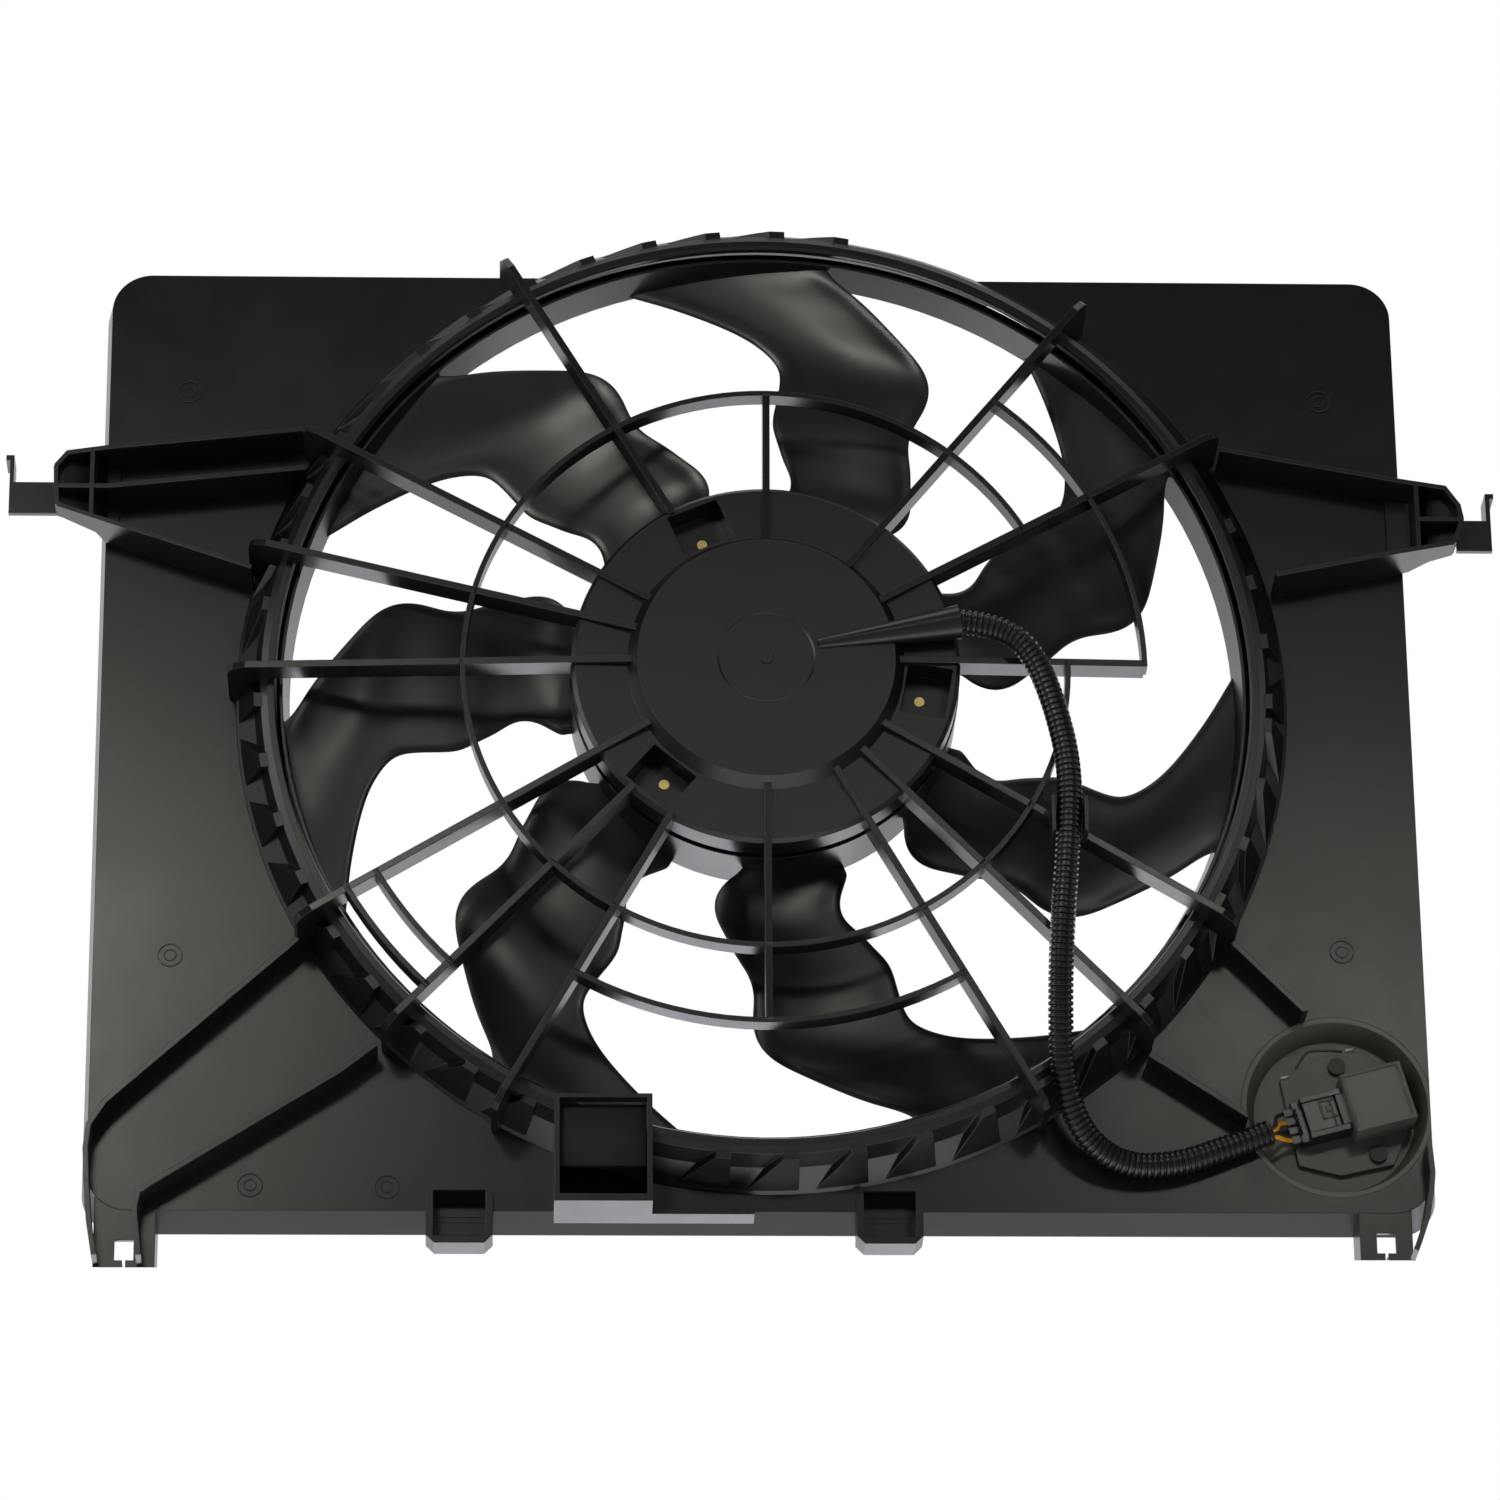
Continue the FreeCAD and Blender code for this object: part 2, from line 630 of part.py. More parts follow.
def foot(name, middle, width, drop):
    wall, half = size("wall"), width / 2
    bottom = -size("panel_bottom")
    outline = [(0, bottom + 10), (0, bottom - drop + 8.5), (panelFace, bottom - drop), (panelFace, bottom + 10)]
    hollow = [(-1, bottom + 11), (-1, bottom - drop + 8.5 + wall), (panelFace - wall, bottom - drop + wall),
              (panelFace - wall, bottom + 11)]
    pieces = []
    for edge, reach in ((outline, half), (hollow, half - wall)):
        corners = [spot(middle - reach, depth, z) for depth, z in edge]
        pieces.append(Part.Face(Part.makePolygon(corners + corners[:1])).extrude(Vector(2 * reach, 0, 0)))
    windowTop = bottom - drop + 3.5 + size("foot_window_height")
    window = Part.makeBox(size("foot_window_width"), panelFace + 2, size("foot_window_height"),
                          Vector(middle - size("foot_window_width") / 2, -panelFace - 1, bottom - drop + 3.5))
    slit = Part.makeBox(size("foot_slit"), panelFace + 2, windowTop - bottom + drop,
                        Vector(middle - size("foot_slit") / 2, -panelFace - 1, bottom - drop - 1))
    shell = pieces[0].cut([pieces[1], window, slit])
    return less(name + "_cut", shaped(name + "_raw", shell), panelCore)


node(foot("left_foot", -size("foot_left_middle"), size("foot_left_width"), size("foot_left_drop")), "foot_left")
node(foot("right_foot", size("foot_right_middle"), size("foot_right_width"), size("foot_right_drop")),
     "foot_right")


def clipBox(name, middle):
    wall, half, bottom = size("wall"), size("clip_width") / 2, -size("panel_bottom") - size("clip_drop")
    top, back, front = bottom + size("clip_drop") + 12, size("wall") * 4, size("panel_depth") + 2
    outline = [(-half, top), (-half, bottom + 4), (-half + 4, bottom), (half - 4, bottom), (half, bottom + 4),
               (half, top)]
    body = plateBetween([(middle + x, z) for x, z in outline], back, front)
    hollow = Part.makeBox(2 * half - wall * 2.8, front - back, top - bottom,
                          Vector(middle - half + wall * 1.4, -front - wall, bottom + wall * 1.4))
    plate = Part.makeBox(2 * half, wall, top - bottom + 3, Vector(middle - half, -back - wall, bottom + 4))
    return fused(name + "_all", less(name + "_cut", shaped(name + "_raw", body.cut(hollow)), panelCore),
                 less(name + "_plate", shaped(name + "_back", plate), panel))


node(clipBox("left_clip", -size("clip_left_middle")), "clip_box_left")
node(clipBox("right_clip", size("clip_right_middle")), "clip_box_right")

boxOutside = slab("box_outside", "-box_left", "-box_left + box_width", "-box_top - box_height", "-box_top",
                  "panel_depth", "box_front")
boxInside = slab("box_inside", "-box_left + wall", "-box_left + box_width - wall", "-box_top - box_height + wall*1.4",
                 "-box_top - wall*0.8", "panel_depth - 1", "box_front + 1")
shelf = slab("box_shelf", "-box_left + box_width", "-box_left + box_width + shelf_length",
             "-box_top - box_height", "-box_top - box_height + wall", "panel_depth", "shelf_front")
node(less("bracket_cut", fused("bracket_solid", less("box_shell", boxOutside, boxInside), shelf),
          barrelCore, barrel), "bracket_box")

ribFront, ribWall = size("rib_front"), size("wall")
ribRoutes = [
    [(-222.6, -131.2), (-311.9, -214.1), (-319.4, -226), (-320.6, -238), (-319.6, -256), (-318, -274), (-315.2, -291)],
    [(-185.2, -185.2), (-201.9, -198.6), (-295.3, -259.1), (-297, -268), (-294.5, -291)],
    [(222.6, -131.6), (260.4, -171.5)],
    [(181, -189), (229.9, -222)],
    [(312, -234), (312.9, -248.2), (311.8, -257.8), (309.1, -271.2), (305.1, -282.5), (303.2, -287)],
]
ribs = [wallAlong(route, ribWall, panelFace, ribFront) for route in ribRoutes]
cupColumn = drum("cup_column", "module_radius + wall", "0", "arm_front", "module_across", "-module_down")
node(less("ribs_cut", shaped("ribs_raw", Part.makeCompound(ribs)), cupColumn, barrelCore, barrel, struts),
     "panel_ribs")

# Motor: can, flange, end cap, bushes, magnets, brushes and screws

node(turned("can_body", [
    ("bush_radius", "can_back"), ("can_radius - can_wall", "can_back"), ("can_radius", "can_back + can_wall"),
    ("can_radius", "can_front"), ("can_radius - can_wall", "can_front"),
    ("can_radius - can_wall", "can_back + can_wall"), ("bush_radius + can_wall*1.5", "can_back + can_wall"),
    ("bush_radius + can_wall*1.5", "can_back + bush_length"), ("bush_radius", "can_back + bush_length"),
]), "motor_can")
node(turned("cap_body", [
    ("bush_radius", "can_front + wall"), ("can_radius", "can_front + wall"), ("can_radius", "can_front"),
    ("bush_radius + can_wall*1.5", "can_front"), ("bush_radius + can_wall*1.5", "can_front + wall - bush_length"),
    ("bush_radius", "can_front + wall - bush_length"),
]), "motor_end_cap")
for name, label, back in (("front_bush", "bush_front", "can_back"),
                          ("rear_bush", "bush_rear", "can_front + wall - bush_length")):
    node(less(name, drum(name + "_outside", "bush_radius", back, back + " + bush_length"),
              drum(name + "_bore", "shaft_radius + running_gap", back + " - 1", back + " + bush_length + 1")), label)

flangeBack = lugFront - size("flange_thickness")
flangeRing = less("flange_ring", drum("flange_outside", "flange_radius", "pocket_floor - wall - flange_thickness",
                                      "pocket_floor - wall"),
                  drum("flange_inside", "can_radius", "pocket_floor - wall*3", "pocket_floor"))
lugs = [radialBlock(angle, size("flange_radius") - 4, size("lug_reach"), size("lug_width"), flangeBack, lugFront)
        for angle in screwAngles]
node(less("flange_cut", fused("flange_solid", flangeRing, shaped("flange_lugs", Part.makeCompound(lugs))),
          shaped("lug_holes", Part.makeCompound(bored(screwShank, flangeBack - 1, lugFront + 1)))), "motor_flange")

screws = []
for shank, head in zip(bored(screwShank, screwBack, pocketFloor),
                       bored(screwHead, pocketFloor, pocketFloor + size("screw_head_height"))):
    screws.append(shank.fuse(head).removeSplitter())
node(shaped("screw_group", Part.makeCompound(screws)), "motor_screws")

canInner, coreRadius = size("can_radius") - size("can_wall"), size("core_radius")
magnetInner = coreRadius + size("air_gap")
magnets = [ringWall((canInner + magnetInner) / 2, canInner - magnetInner, size("core_back") - 2,
                    size("core_front") + 2, start, start + 64) for start in (13, 103, 193, 283)]
node(shaped("magnet_group", Part.makeCompound(magnets)), "motor_magnets")

shaftRadius = size("shaft_radius")
commutatorBack = size("core_front") + size("coil_overhang")
commutatorFront = commutatorBack + size("commutator_length")
brushInner = size("commutator_radius") + 0.3
brushOuter = brushInner + size("brush_length")
brushHalf = size("brush_size") / 2
brushDepth = (commutatorBack + commutatorFront) / 2
holderFront = size("can_front") - 1.5


def brushBlock(sign, inner, outer, half):
    left = min(sign * inner, sign * outer)
    return Part.makeBox(outer - inner, 2 * half, 2 * half, Vector(left, -brushDepth - half, -half))


holder = Part.makeCylinder(canInner, 2, spot(0, holderFront - 2, 0), Vector(0, -1, 0))
holder = holder.cut(Part.makeCylinder(size("commutator_radius") + 1.5, 4, spot(0, holderFront - 3, 0), Vector(0, -1, 0)))
sleeves = [Part.makeBox(18, holderFront - 2 - brushDepth + brushHalf + 0.8, size("brush_size") + 2,
                        Vector(left, -holderFront + 2, -brushHalf - 1)) for left in (13.2, -31.2)]
holder = holder.fuse(sleeves).cut([brushBlock(sign, 12, 30, brushHalf) for sign in (1, -1)]).removeSplitter()
node(shaped("holder_body", holder), "brush_holder")
node(shaped("brush_pair", Part.makeCompound([brushBlock(sign, brushInner, brushOuter, brushHalf)
                                             for sign in (1, -1)])), "motor_brushes")
springs = [Part.makeCylinder(1.9, 30 - brushOuter, Vector(sign * brushOuter, -brushDepth, 0), Vector(sign, 0, 0))
           for sign in (1, -1)]
node(shaped("spring_pair", Part.makeCompound(springs)), "brush_springs")

# Rotor: shaft, armature and commutator

collarFront = "hub_boss_front + wall"
node(turned("shaft_body", [
    ("0", "shaft_back"), ("shaft_radius - 0.5", "shaft_back"), ("shaft_radius", "shaft_back + 0.5"),
    ("shaft_radius", "hub_boss_front"), ("shaft_radius*1.7", "hub_boss_front"), ("shaft_radius*1.7", collarFront),
    ("shaft_radius", collarFront), ("shaft_radius", "shaft_front"), ("0", "shaft_front"),
]), "motor_shaft")
slotCount = int(size("core_slots"))
slots = [(360 / slotCount) * index for index in range(slotCount)]
coreBack, coreFront, overhang = size("core_back"), size("core_front"), size("coil_overhang")
coils = [radialBlock(angle, 21, coreRadius - 5, 5, coreBack, coreFront) for angle in slots]
mouths = [radialBlock(angle, coreRadius - 6, coreRadius + 1, 2, coreBack - 1, coreFront + 1) for angle in slots]
coreDrum = drum("core_drum", "core_radius", "core_back", "core_front")
coreBore = drum("core_bore", "shaft_radius", "core_back - 1", "core_front + 1")
node(less("core_cut", coreDrum, coreBore, shaped("core_slots_cut", Part.makeCompound(coils)),
          shaped("core_mouths", Part.makeCompound(mouths))), "armature_core")
endTurns = [Part.makeCylinder(coreRadius - 5, overhang, spot(0, back, 0), Vector(0, -1, 0)).cut(
    Part.makeCylinder(16, overhang, spot(0, back, 0), Vector(0, -1, 0)))
    for back in (coreBack - overhang, coreFront)]
node(shaped("winding_body", joined(coils + endTurns)), "armature_windings")
node(less("commutator_cut", drum("commutator_drum", "commutator_radius", "core_front",
                                 "core_front + coil_overhang + commutator_length"),
          drum("commutator_bore", "shaft_radius", "core_front - 1", "can_front")), "commutator")

# Fan: hub cup with ribs, band, blades, washer and nut

hubWall = size("wall")
hubCup = turned("hub_cup", [
    ("hub_radius", "hub_front"), ("hub_radius", "hub_back + wall*2"), ("hub_radius - wall*2", "hub_back"),
    ("hub_boss_radius", "hub_back"), ("hub_boss_radius", "hub_boss_back"), ("shaft_radius", "hub_boss_back"),
    ("shaft_radius", "hub_boss_front"), ("hub_boss_radius", "hub_boss_front"), ("hub_boss_radius", "hub_back + wall"),
    ("hub_radius - wall*3", "hub_back + wall"), ("hub_radius - wall", "hub_back + wall*3"),
    ("hub_radius - wall", "hub_front"),
])
ribCount = int(size("hub_rib_count"))
hubInner, hubBack, bossFront = size("hub_radius") - hubWall, size("hub_back"), size("hub_boss_front")
hubRib = [(size("hub_boss_radius") - 1, hubBack + 1), (size("hub_boss_radius") - 1, bossFront - 1),
          (size("can_radius") + 2, bossFront - 1), (size("flange_radius") + 2, bossFront + 11),
          (hubInner + 1, bossFront + 14), (hubInner + 1, hubBack + 9), (hubInner - 4, hubBack + 1)]
hubRibs = [radialPlate(hubRib, 2, 360 / ribCount * index) for index in range(ribCount)]
hub = node(fused("hub_all", hubCup, shaped("hub_ribs", Part.makeCompound(hubRibs))), "fan_hub")
node(turned("band_body", [
    ("band_back_radius", "band_back"), ("band_front_radius", "band_front"),
    ("band_front_radius + band_wall", "band_front"),
    ("band_back_radius + band_wall*1.35", "band_back + band_wall"),
    ("band_lip_radius", "band_back + band_wall"), ("band_lip_radius", "band_back"),
]), "fan_band")


def bladeSection(radius, trailAngle, leadAngle):
    # Points round the blade at one radius: from the leading edge to the trailing edge and back.
    lead, trail = size("blade_lead_depth"), size("blade_trail_depth")
    half, camber = size("blade_thickness") / 2, size("blade_camber")
    length = radius * math.radians(leadAngle - trailAngle)
    slope = math.atan2(trail - lead, length)
    upper, lower = [], []
    for share, bulk in ((0, 0), (0.03, 0.62), (0.12, 0.95), (0.3, 1), (0.5, 1), (0.7, 0.95), (0.88, 0.8), (0.97, 0.55)):
        depth = lead + (trail - lead) * share - 4 * camber * share * (1 - share)
        along = length * share
        lean = slope - math.atan2(4 * camber * (1 - 2 * share), length)
        for side, points in ((1, upper), (-1, lower)):
            turn = math.degrees((along - side * half * bulk * math.sin(lean)) / radius)
            points.append(atAngle(radius, depth + side * half * bulk * math.cos(lean), leadAngle - turn))
    return upper + [atAngle(radius, trail, trailAngle)] + lower[::-1]


def bladeSolid():
    # One surface closed round the sections, with a cap at the hub end and another at the band end.
    surface = Part.BSplineSurface()
    surface.interpolate([bladeSection(*station) for station in bladeStations])
    skin = surface.toShape()
    ends = [edge for edge in skin.Edges
            if edge.valueAt(edge.FirstParameter).distanceToPoint(edge.valueAt(edge.LastParameter)) < 0.001]
    shell = Part.makeShell([skin] + [Part.makeFilledFace([edge]) for edge in ends])
    shell.sewShape()
    solid = Part.makeSolid(shell)
    if solid.Volume < 0:
        solid.reverse()
    return solid


bandCore = cone("band_core", "band_back_radius", "band_front_radius", "band_back", "band_front")
hubCore = drum("hub_core", "hub_radius", "0", "hub_front + wall")
bladeOne = less("blade_cut", shared("blade_in_band", shaped("blade_raw", bladeSolid()), bandCore), hubCore)
doc.recompute()
node(bladeOne, "fan_blade_1")
bladeCount = int(size("blade_count"))
for index in range(1, bladeCount):
    blade = copied("blade_copy_%d" % (index + 1), bladeOne)
    blade.Placement = Placement(Vector(), Rotation(Vector(0, 1, 0), 360 / bladeCount * index))
    node(blade, "fan_blade_%d" % (index + 1))
node(less("washer_cut", drum("washer_disc", "shaft_radius*2.25", "hub_boss_back - 1.5", "hub_boss_back"),
          drum("washer_bore", "shaft_radius", "0", "hub_front")), "fan_washer")
nutBack, nutFront = size("hub_boss_back") - 8, size("hub_boss_back") - 1.5
nutCorners = [atAngle(size("shaft_radius") * 1.875, nutBack, 60 * turn) for turn in range(6)]
nut = Part.Face(Part.makePolygon(nutCorners + nutCorners[:1])).extrude(spot(0, nutFront - nutBack, 0))
node(less("nut_cut", shaped("nut_body", nut), drum("nut_bore", "shaft_radius", "0", "hub_front")), "fan_nut")

# Control module in the pocket, its plug and the plug's latch

moduleTurn = math.radians(size("module_turn"))
moduleRotation = Rotation(Vector(0, 1, 0), -size("module_turn"))
moduleMiddle = Vector(size("module_across"), 0, -size("module_down"))


def inModule(along, depth, up):
    # A point given along and across the module's own direction, from the middle of its pocket.
    return moduleMiddle + moduleRotation.multVec(spot(along, depth, up))


def moduleBlock(left, right, bottom, top, back, front):
    block = Part.makeBox(right - left, front - back, top - bottom)
    block.Placement = Placement(inModule(left, front, bottom), moduleRotation)
    return block


def modulePeg(radius, along, up, back, front):
    return Part.makeCylinder(radius, front - back, inModule(along, back, up), Vector(0, -1, 0))


moduleFloor, moduleFront, plugFront = size("module_floor"), size("module_front"), size("plug_front")
baseFront = moduleFloor + 3
baseOutline = [(-24, -20), (-6, -30), (20, -31), (35, -12), (35, 12), (22, 28), (2, 30), (-20, 24)]
baseCorners = [inModule(along, moduleFloor, up) for along, up in baseOutline]
modulePlate = Part.Face(Part.makePolygon(baseCorners + baseCorners[:1])).extrude(spot(0, baseFront - moduleFloor, 0))
moduleScrews = [(14, -24.5), (8, 23)]
plateHoles = [modulePeg(2, along, up, moduleFloor - 1, baseFront + 1) for along, up in moduleScrews]
node(shaped("module_plate", modulePlate.cut(plateHoles)), "module_base")
pegs = [modulePeg(2, along, up, moduleFloor, baseFront).fuse(modulePeg(4.2, along, up, baseFront, baseFront + 2.4))
        for along, up in moduleScrews]
node(shaped("module_screw_pair", Part.makeCompound([peg.removeSplitter() for peg in pegs])), "module_screws")
housing = moduleBlock(4.4, 34.4, -16.2, 13.2, baseFront, moduleFront)
socket = moduleBlock(4, 12, -9, 5.6, baseFront + 3, plugFront - 4)
node(shaped("module_block", housing.cut(socket)), "module_housing")

plugLeft, plugRight, plugBottom, plugTop = -20.5, 4.4, -12.2, 8.8
plugDeck = plugFront - 3
railWidth = 2.7
latchGap = size("latch_gap")
latchPivot, pinRadius, pinClear = -3, 1, 0.05
plugBody = moduleBlock(plugLeft, plugRight, plugBottom, plugTop, baseFront + 0.6, plugDeck)
rails = [moduleBlock(plugLeft + 4, plugRight, bottom, bottom + railWidth, plugDeck, plugFront + 1)
         for bottom in (plugBottom, plugTop - railWidth)]
pinDepth = plugFront - 0.6
pinHole = Part.makeCylinder(pinRadius + pinClear, plugTop - plugBottom - 2, inModule(latchPivot, pinDepth, plugBottom + 1),
                            moduleRotation.multVec(Vector(0, 0, 1)))
tongue = moduleBlock(plugRight, 11.6, -8.6, 5.2, baseFront + 3.4, plugFront - 4.4)
node(shaped("plug_body", plugBody.fuse(rails + [tongue]).cut(pinHole).removeSplitter()), "plug_housing")
latchBottom, latchTop = plugBottom + railWidth + latchGap, plugTop - railWidth - latchGap
lever = moduleBlock(-16, -0.5, latchBottom, latchTop, pinDepth - 0.9, pinDepth + 0.9)
pivot = Part.makeCylinder(pinRadius, plugTop - plugBottom - 2.6, inModule(latchPivot, pinDepth, plugBottom + 1.3),
                          moduleRotation.multVec(Vector(0, 0, 1)))
node(shaped("latch_lever", lever.fuse(pivot).removeSplitter()), "plug_latch")
node(shaped("lock_bar", moduleBlock(0.6, plugRight, latchBottom, latchTop, plugDeck, plugFront + 1)), "plug_lock")

sealPlaces = [(-8.6, 17.5), (-4, 17.5), (0.6, 17.5), (5.2, 17.5)]
seals = [Part.makeCylinder(1.9, 4, inModule(plugLeft - 4, depth, up), moduleRotation.multVec(Vector(1, 0, 0)))
         for up, depth in sealPlaces]
seals = node(shaped("seal_group", Part.makeCompound(seals)), "wire_seals")

# Conduit: straight runs joined by arcs, with the leads at both ends


def smoothPath(route):
    points = [spot(*place) for place in route]
    edges, here, radii = [], points[0], []
    for before, corner, after in zip(points, points[1:], points[2:]):
        intoRun, outRun = corner - before, after - corner
        turn = intoRun.getAngle(outRun)
        radius = 0.45 * min(intoRun.Length, outRun.Length) / math.tan(turn / 2)
        reach = radius * math.tan(turn / 2)
        intoRun.normalize()
        outRun.normalize()
        start, end = corner - intoRun * reach, corner + outRun * reach
        bisector = (outRun - intoRun).normalize()
        middle = corner + bisector * (radius / math.cos(turn / 2) - radius)
        edges += [Part.LineSegment(here, start).toShape(), Part.Arc(start, middle, end).toShape()]
        here = end
        radii.append(radius)
    edges.append(Part.LineSegment(here, points[-1]).toShape())
    return Part.Wire(edges), radii


def tube(route, radius):
    path, radii = smoothPath(route)
    start = spot(*route[0])
    circle = Part.Wire(Part.makeCircle(radius, start, spot(*route[1]) - start))
    swept = path.makePipeShell([circle], True, False)
    ratio = swept.Volume / (math.pi * radius ** 2 * path.Length)
    print("tube: length %.1f, volume ratio %.4f, radii %s" % (path.Length, ratio, [round(r) for r in radii]))
    return swept


conduit = node(less("conduit_cut", shaped("conduit_tube", tube(conduitRoute, size("conduit_diameter") / 2)), carrier),
               "conduit")
conduitEnd, conduitBefore = spot(*conduitRoute[-1]), spot(*conduitRoute[-2])
endDirection = (conduitEnd - conduitBefore).normalize()
endSide = endDirection.cross(Vector(0, -1, 0)).normalize()
leads = []
for (up, depth), share in zip(sealPlaces, (1, 0.35, -0.35, -1)):
    begin = conduitEnd + endSide * (3.8 * share)
    finish = inModule(plugLeft - 4, depth, up)
    leads.append(Part.makeCylinder(1.2, (finish - begin).Length, begin, finish - begin))
node(less("plug_leads_cut", shaped("plug_lead_group", Part.makeCompound(leads)), conduit, seals), "plug_leads")
motorLeads = []
for side in (-1.35, 1.35):
    bend = leadDrop + Vector(0, 0, side)
    drop = Part.makeCylinder(1.2, -bend.y - size("can_front") - size("wall"), bend, Vector(0, 1, 0))
    motorLeads.append(Part.makeCylinder(1.2, 40, bend, ductReach).fuse([Part.makeSphere(1.2, bend), drop]))
node(less("motor_leads_cut", shaped("motor_lead_pair", Part.makeCompound(motorLeads)), conduit), "motor_leads")

clipAcross, clipUp, clipBack = 143.2, -82.5, 64.5
conduitRadius = size("conduit_diameter") / 2
clipShell = Part.makeBox(2 * conduitRadius + 5.4, 16, 18,
                         Vector(clipAcross - conduitRadius - 2.7, -clipBack - 16, clipUp - 9))
clipHollow = Part.makeBox(2 * conduitRadius + 1.6, 12, 20,
                          Vector(clipAcross - conduitRadius - 0.8, -clipBack - 17.4, clipUp - 10))
node(less("clip_cut", shaped("clip_raw", clipShell.cut(clipHollow)), struts), "cable_clip")

# Checks on every object, then one file for each sub-part

doc.recompute()
for item in doc.Objects:
    if "Invalid" in item.State or "Error" in item.State:
        raise SystemExit("failed: %s %s" % (item.Name, item.State))
for item in nodes:
    if item.Shape.isNull() or not item.Shape.isValid() or not item.Shape.Solids:
        raise SystemExit("bad shape: %s" % item.Label)
os.makedirs("parts", exist_ok=True)
for item in nodes:
    item.Shape.exportStep("parts/%s.step" % item.Label)
    print("%-20s %2d solids %10.0f mm3" % (item.Label, len(item.Shape.Solids), item.Shape.Volume))
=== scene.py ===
import json
import math
import bmesh
import bpy
from mathutils import Matrix, Vector


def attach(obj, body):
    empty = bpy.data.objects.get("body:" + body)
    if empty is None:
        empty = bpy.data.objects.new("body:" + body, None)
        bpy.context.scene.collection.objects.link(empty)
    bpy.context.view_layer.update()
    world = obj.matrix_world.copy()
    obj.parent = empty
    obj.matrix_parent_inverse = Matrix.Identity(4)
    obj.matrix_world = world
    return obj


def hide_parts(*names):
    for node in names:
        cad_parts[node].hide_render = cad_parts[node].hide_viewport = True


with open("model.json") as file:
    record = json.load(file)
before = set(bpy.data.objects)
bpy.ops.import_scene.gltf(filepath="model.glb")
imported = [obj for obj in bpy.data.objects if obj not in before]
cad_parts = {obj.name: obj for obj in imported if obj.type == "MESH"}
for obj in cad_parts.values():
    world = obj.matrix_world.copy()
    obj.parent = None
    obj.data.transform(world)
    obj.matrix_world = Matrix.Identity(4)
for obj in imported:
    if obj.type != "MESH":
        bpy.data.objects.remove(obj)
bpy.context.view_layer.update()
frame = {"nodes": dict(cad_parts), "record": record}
nodes = frame["nodes"]
mm = 0.001


def place(x, depth, z):  # a point in millimetres, with its depth towards the engine
    return Vector((x, -depth, z)) * mm


print("camera and studio")

cameraSet = {
    "azimuth": -2.186,
    "elevation": -23.841,
    "roll": -0.597,
    "distance": 3.41,
    "aim": (-0.00546, 0.0, -0.01541),
    "metresAcross": 0.732,  # what 1500 pixels take in at the aim point
    "sensor": 36.0,
}


def aimCamera(look):
    turn, rise, roll = (math.radians(look[key]) for key in ("azimuth", "elevation", "roll"))
    back = Vector((math.sin(turn) * math.cos(rise), -math.cos(turn) * math.cos(rise), math.sin(rise)))
    right = Vector((math.cos(turn), math.sin(turn), 0.0))
    up = back.cross(right)
    rightRolled = right * math.cos(roll) + up * math.sin(roll)
    upRolled = up * math.cos(roll) - right * math.sin(roll)
    lens = bpy.data.cameras.new("photoCamera")
    lens.sensor_width = look["sensor"]
    lens.lens = look["sensor"] * look["distance"] / look["metresAcross"]
    lens.clip_end = 50.0
    camera = bpy.data.objects.new("photoCamera", lens)
    frameTurn = Matrix((rightRolled, upRolled, back)).transposed().to_4x4()
    camera.matrix_world = Matrix.Translation(Vector(look["aim"]) + back * look["distance"]) @ frameTurn
    bpy.context.scene.collection.objects.link(camera)
    bpy.context.scene.camera = camera


aimCamera(cameraSet)
bpy.context.scene.view_settings.view_transform = "Standard"


class Link:  # a socket that can be used in sums
    def __init__(self, tree, socket):
        self.tree = tree
        self.socket = socket

    def maths(self, operation, *others):
        step = self.tree.nodes.new("ShaderNodeMath")
        step.operation = operation
        for index, other in enumerate((self,) + others):
            if isinstance(other, Link):
                self.tree.links.new(other.socket, step.inputs[index])
            else:
                step.inputs[index].default_value = other
        return Link(self.tree, step.outputs[0])

    def __add__(self, other):
        return self.maths("ADD", other)

    def __mul__(self, other):
        return self.maths("MULTIPLY", other)

    __radd__ = __add__


class Finish:  # one material and its nodes
    def __init__(self, name, metallic=0.0):
        self.material = bpy.data.materials.new(name)
        self.material.use_nodes = True
        self.tree = self.material.node_tree
        self.shader = self.tree.nodes["Principled BSDF"]
        self.shader.inputs["Metallic"].default_value = metallic

    def add(self, kind, settings=None, output=0, **sockets):
        step = self.tree.nodes.new(kind)
        for key, value in (settings or {}).items():
            setattr(step, key, value)
        for key, value in sockets.items():  # s6 is the seventh socket, and other keys are names
            socket = step.inputs[int(key[1:]) if key[1:].isdigit() else key]
            if isinstance(value, Link):
                self.tree.links.new(value.socket, socket)
            else:
                socket.default_value = value
        return Link(self.tree, step.outputs[output])

    def where(self):
        return self.add("ShaderNodeTexCoord", output=3)

    def noise(self, spots, scale, detail=2.0, roughness=0.5):
        return self.add("ShaderNodeTexNoise", Vector=spots, Scale=scale, Detail=detail, Roughness=roughness)

    def blend(self, share, first, second):
        return self.add("ShaderNodeMix", {"data_type": "RGBA"}, output=2, s0=share, s6=first, s7=second)

    def feed(self, socket, value):
        self.tree.links.new(value.socket, self.shader.inputs[socket])

    def bump(self, height, strength, distance, edge=0.0):
        worn = {"Normal": self.add("ShaderNodeBevel", {"samples": 4}, Radius=edge)} if edge else {}
        relief = self.add("ShaderNodeBump", Height=height, Strength=strength, Distance=distance, **worn)
        self.feed("Normal", relief)


print("finishes")

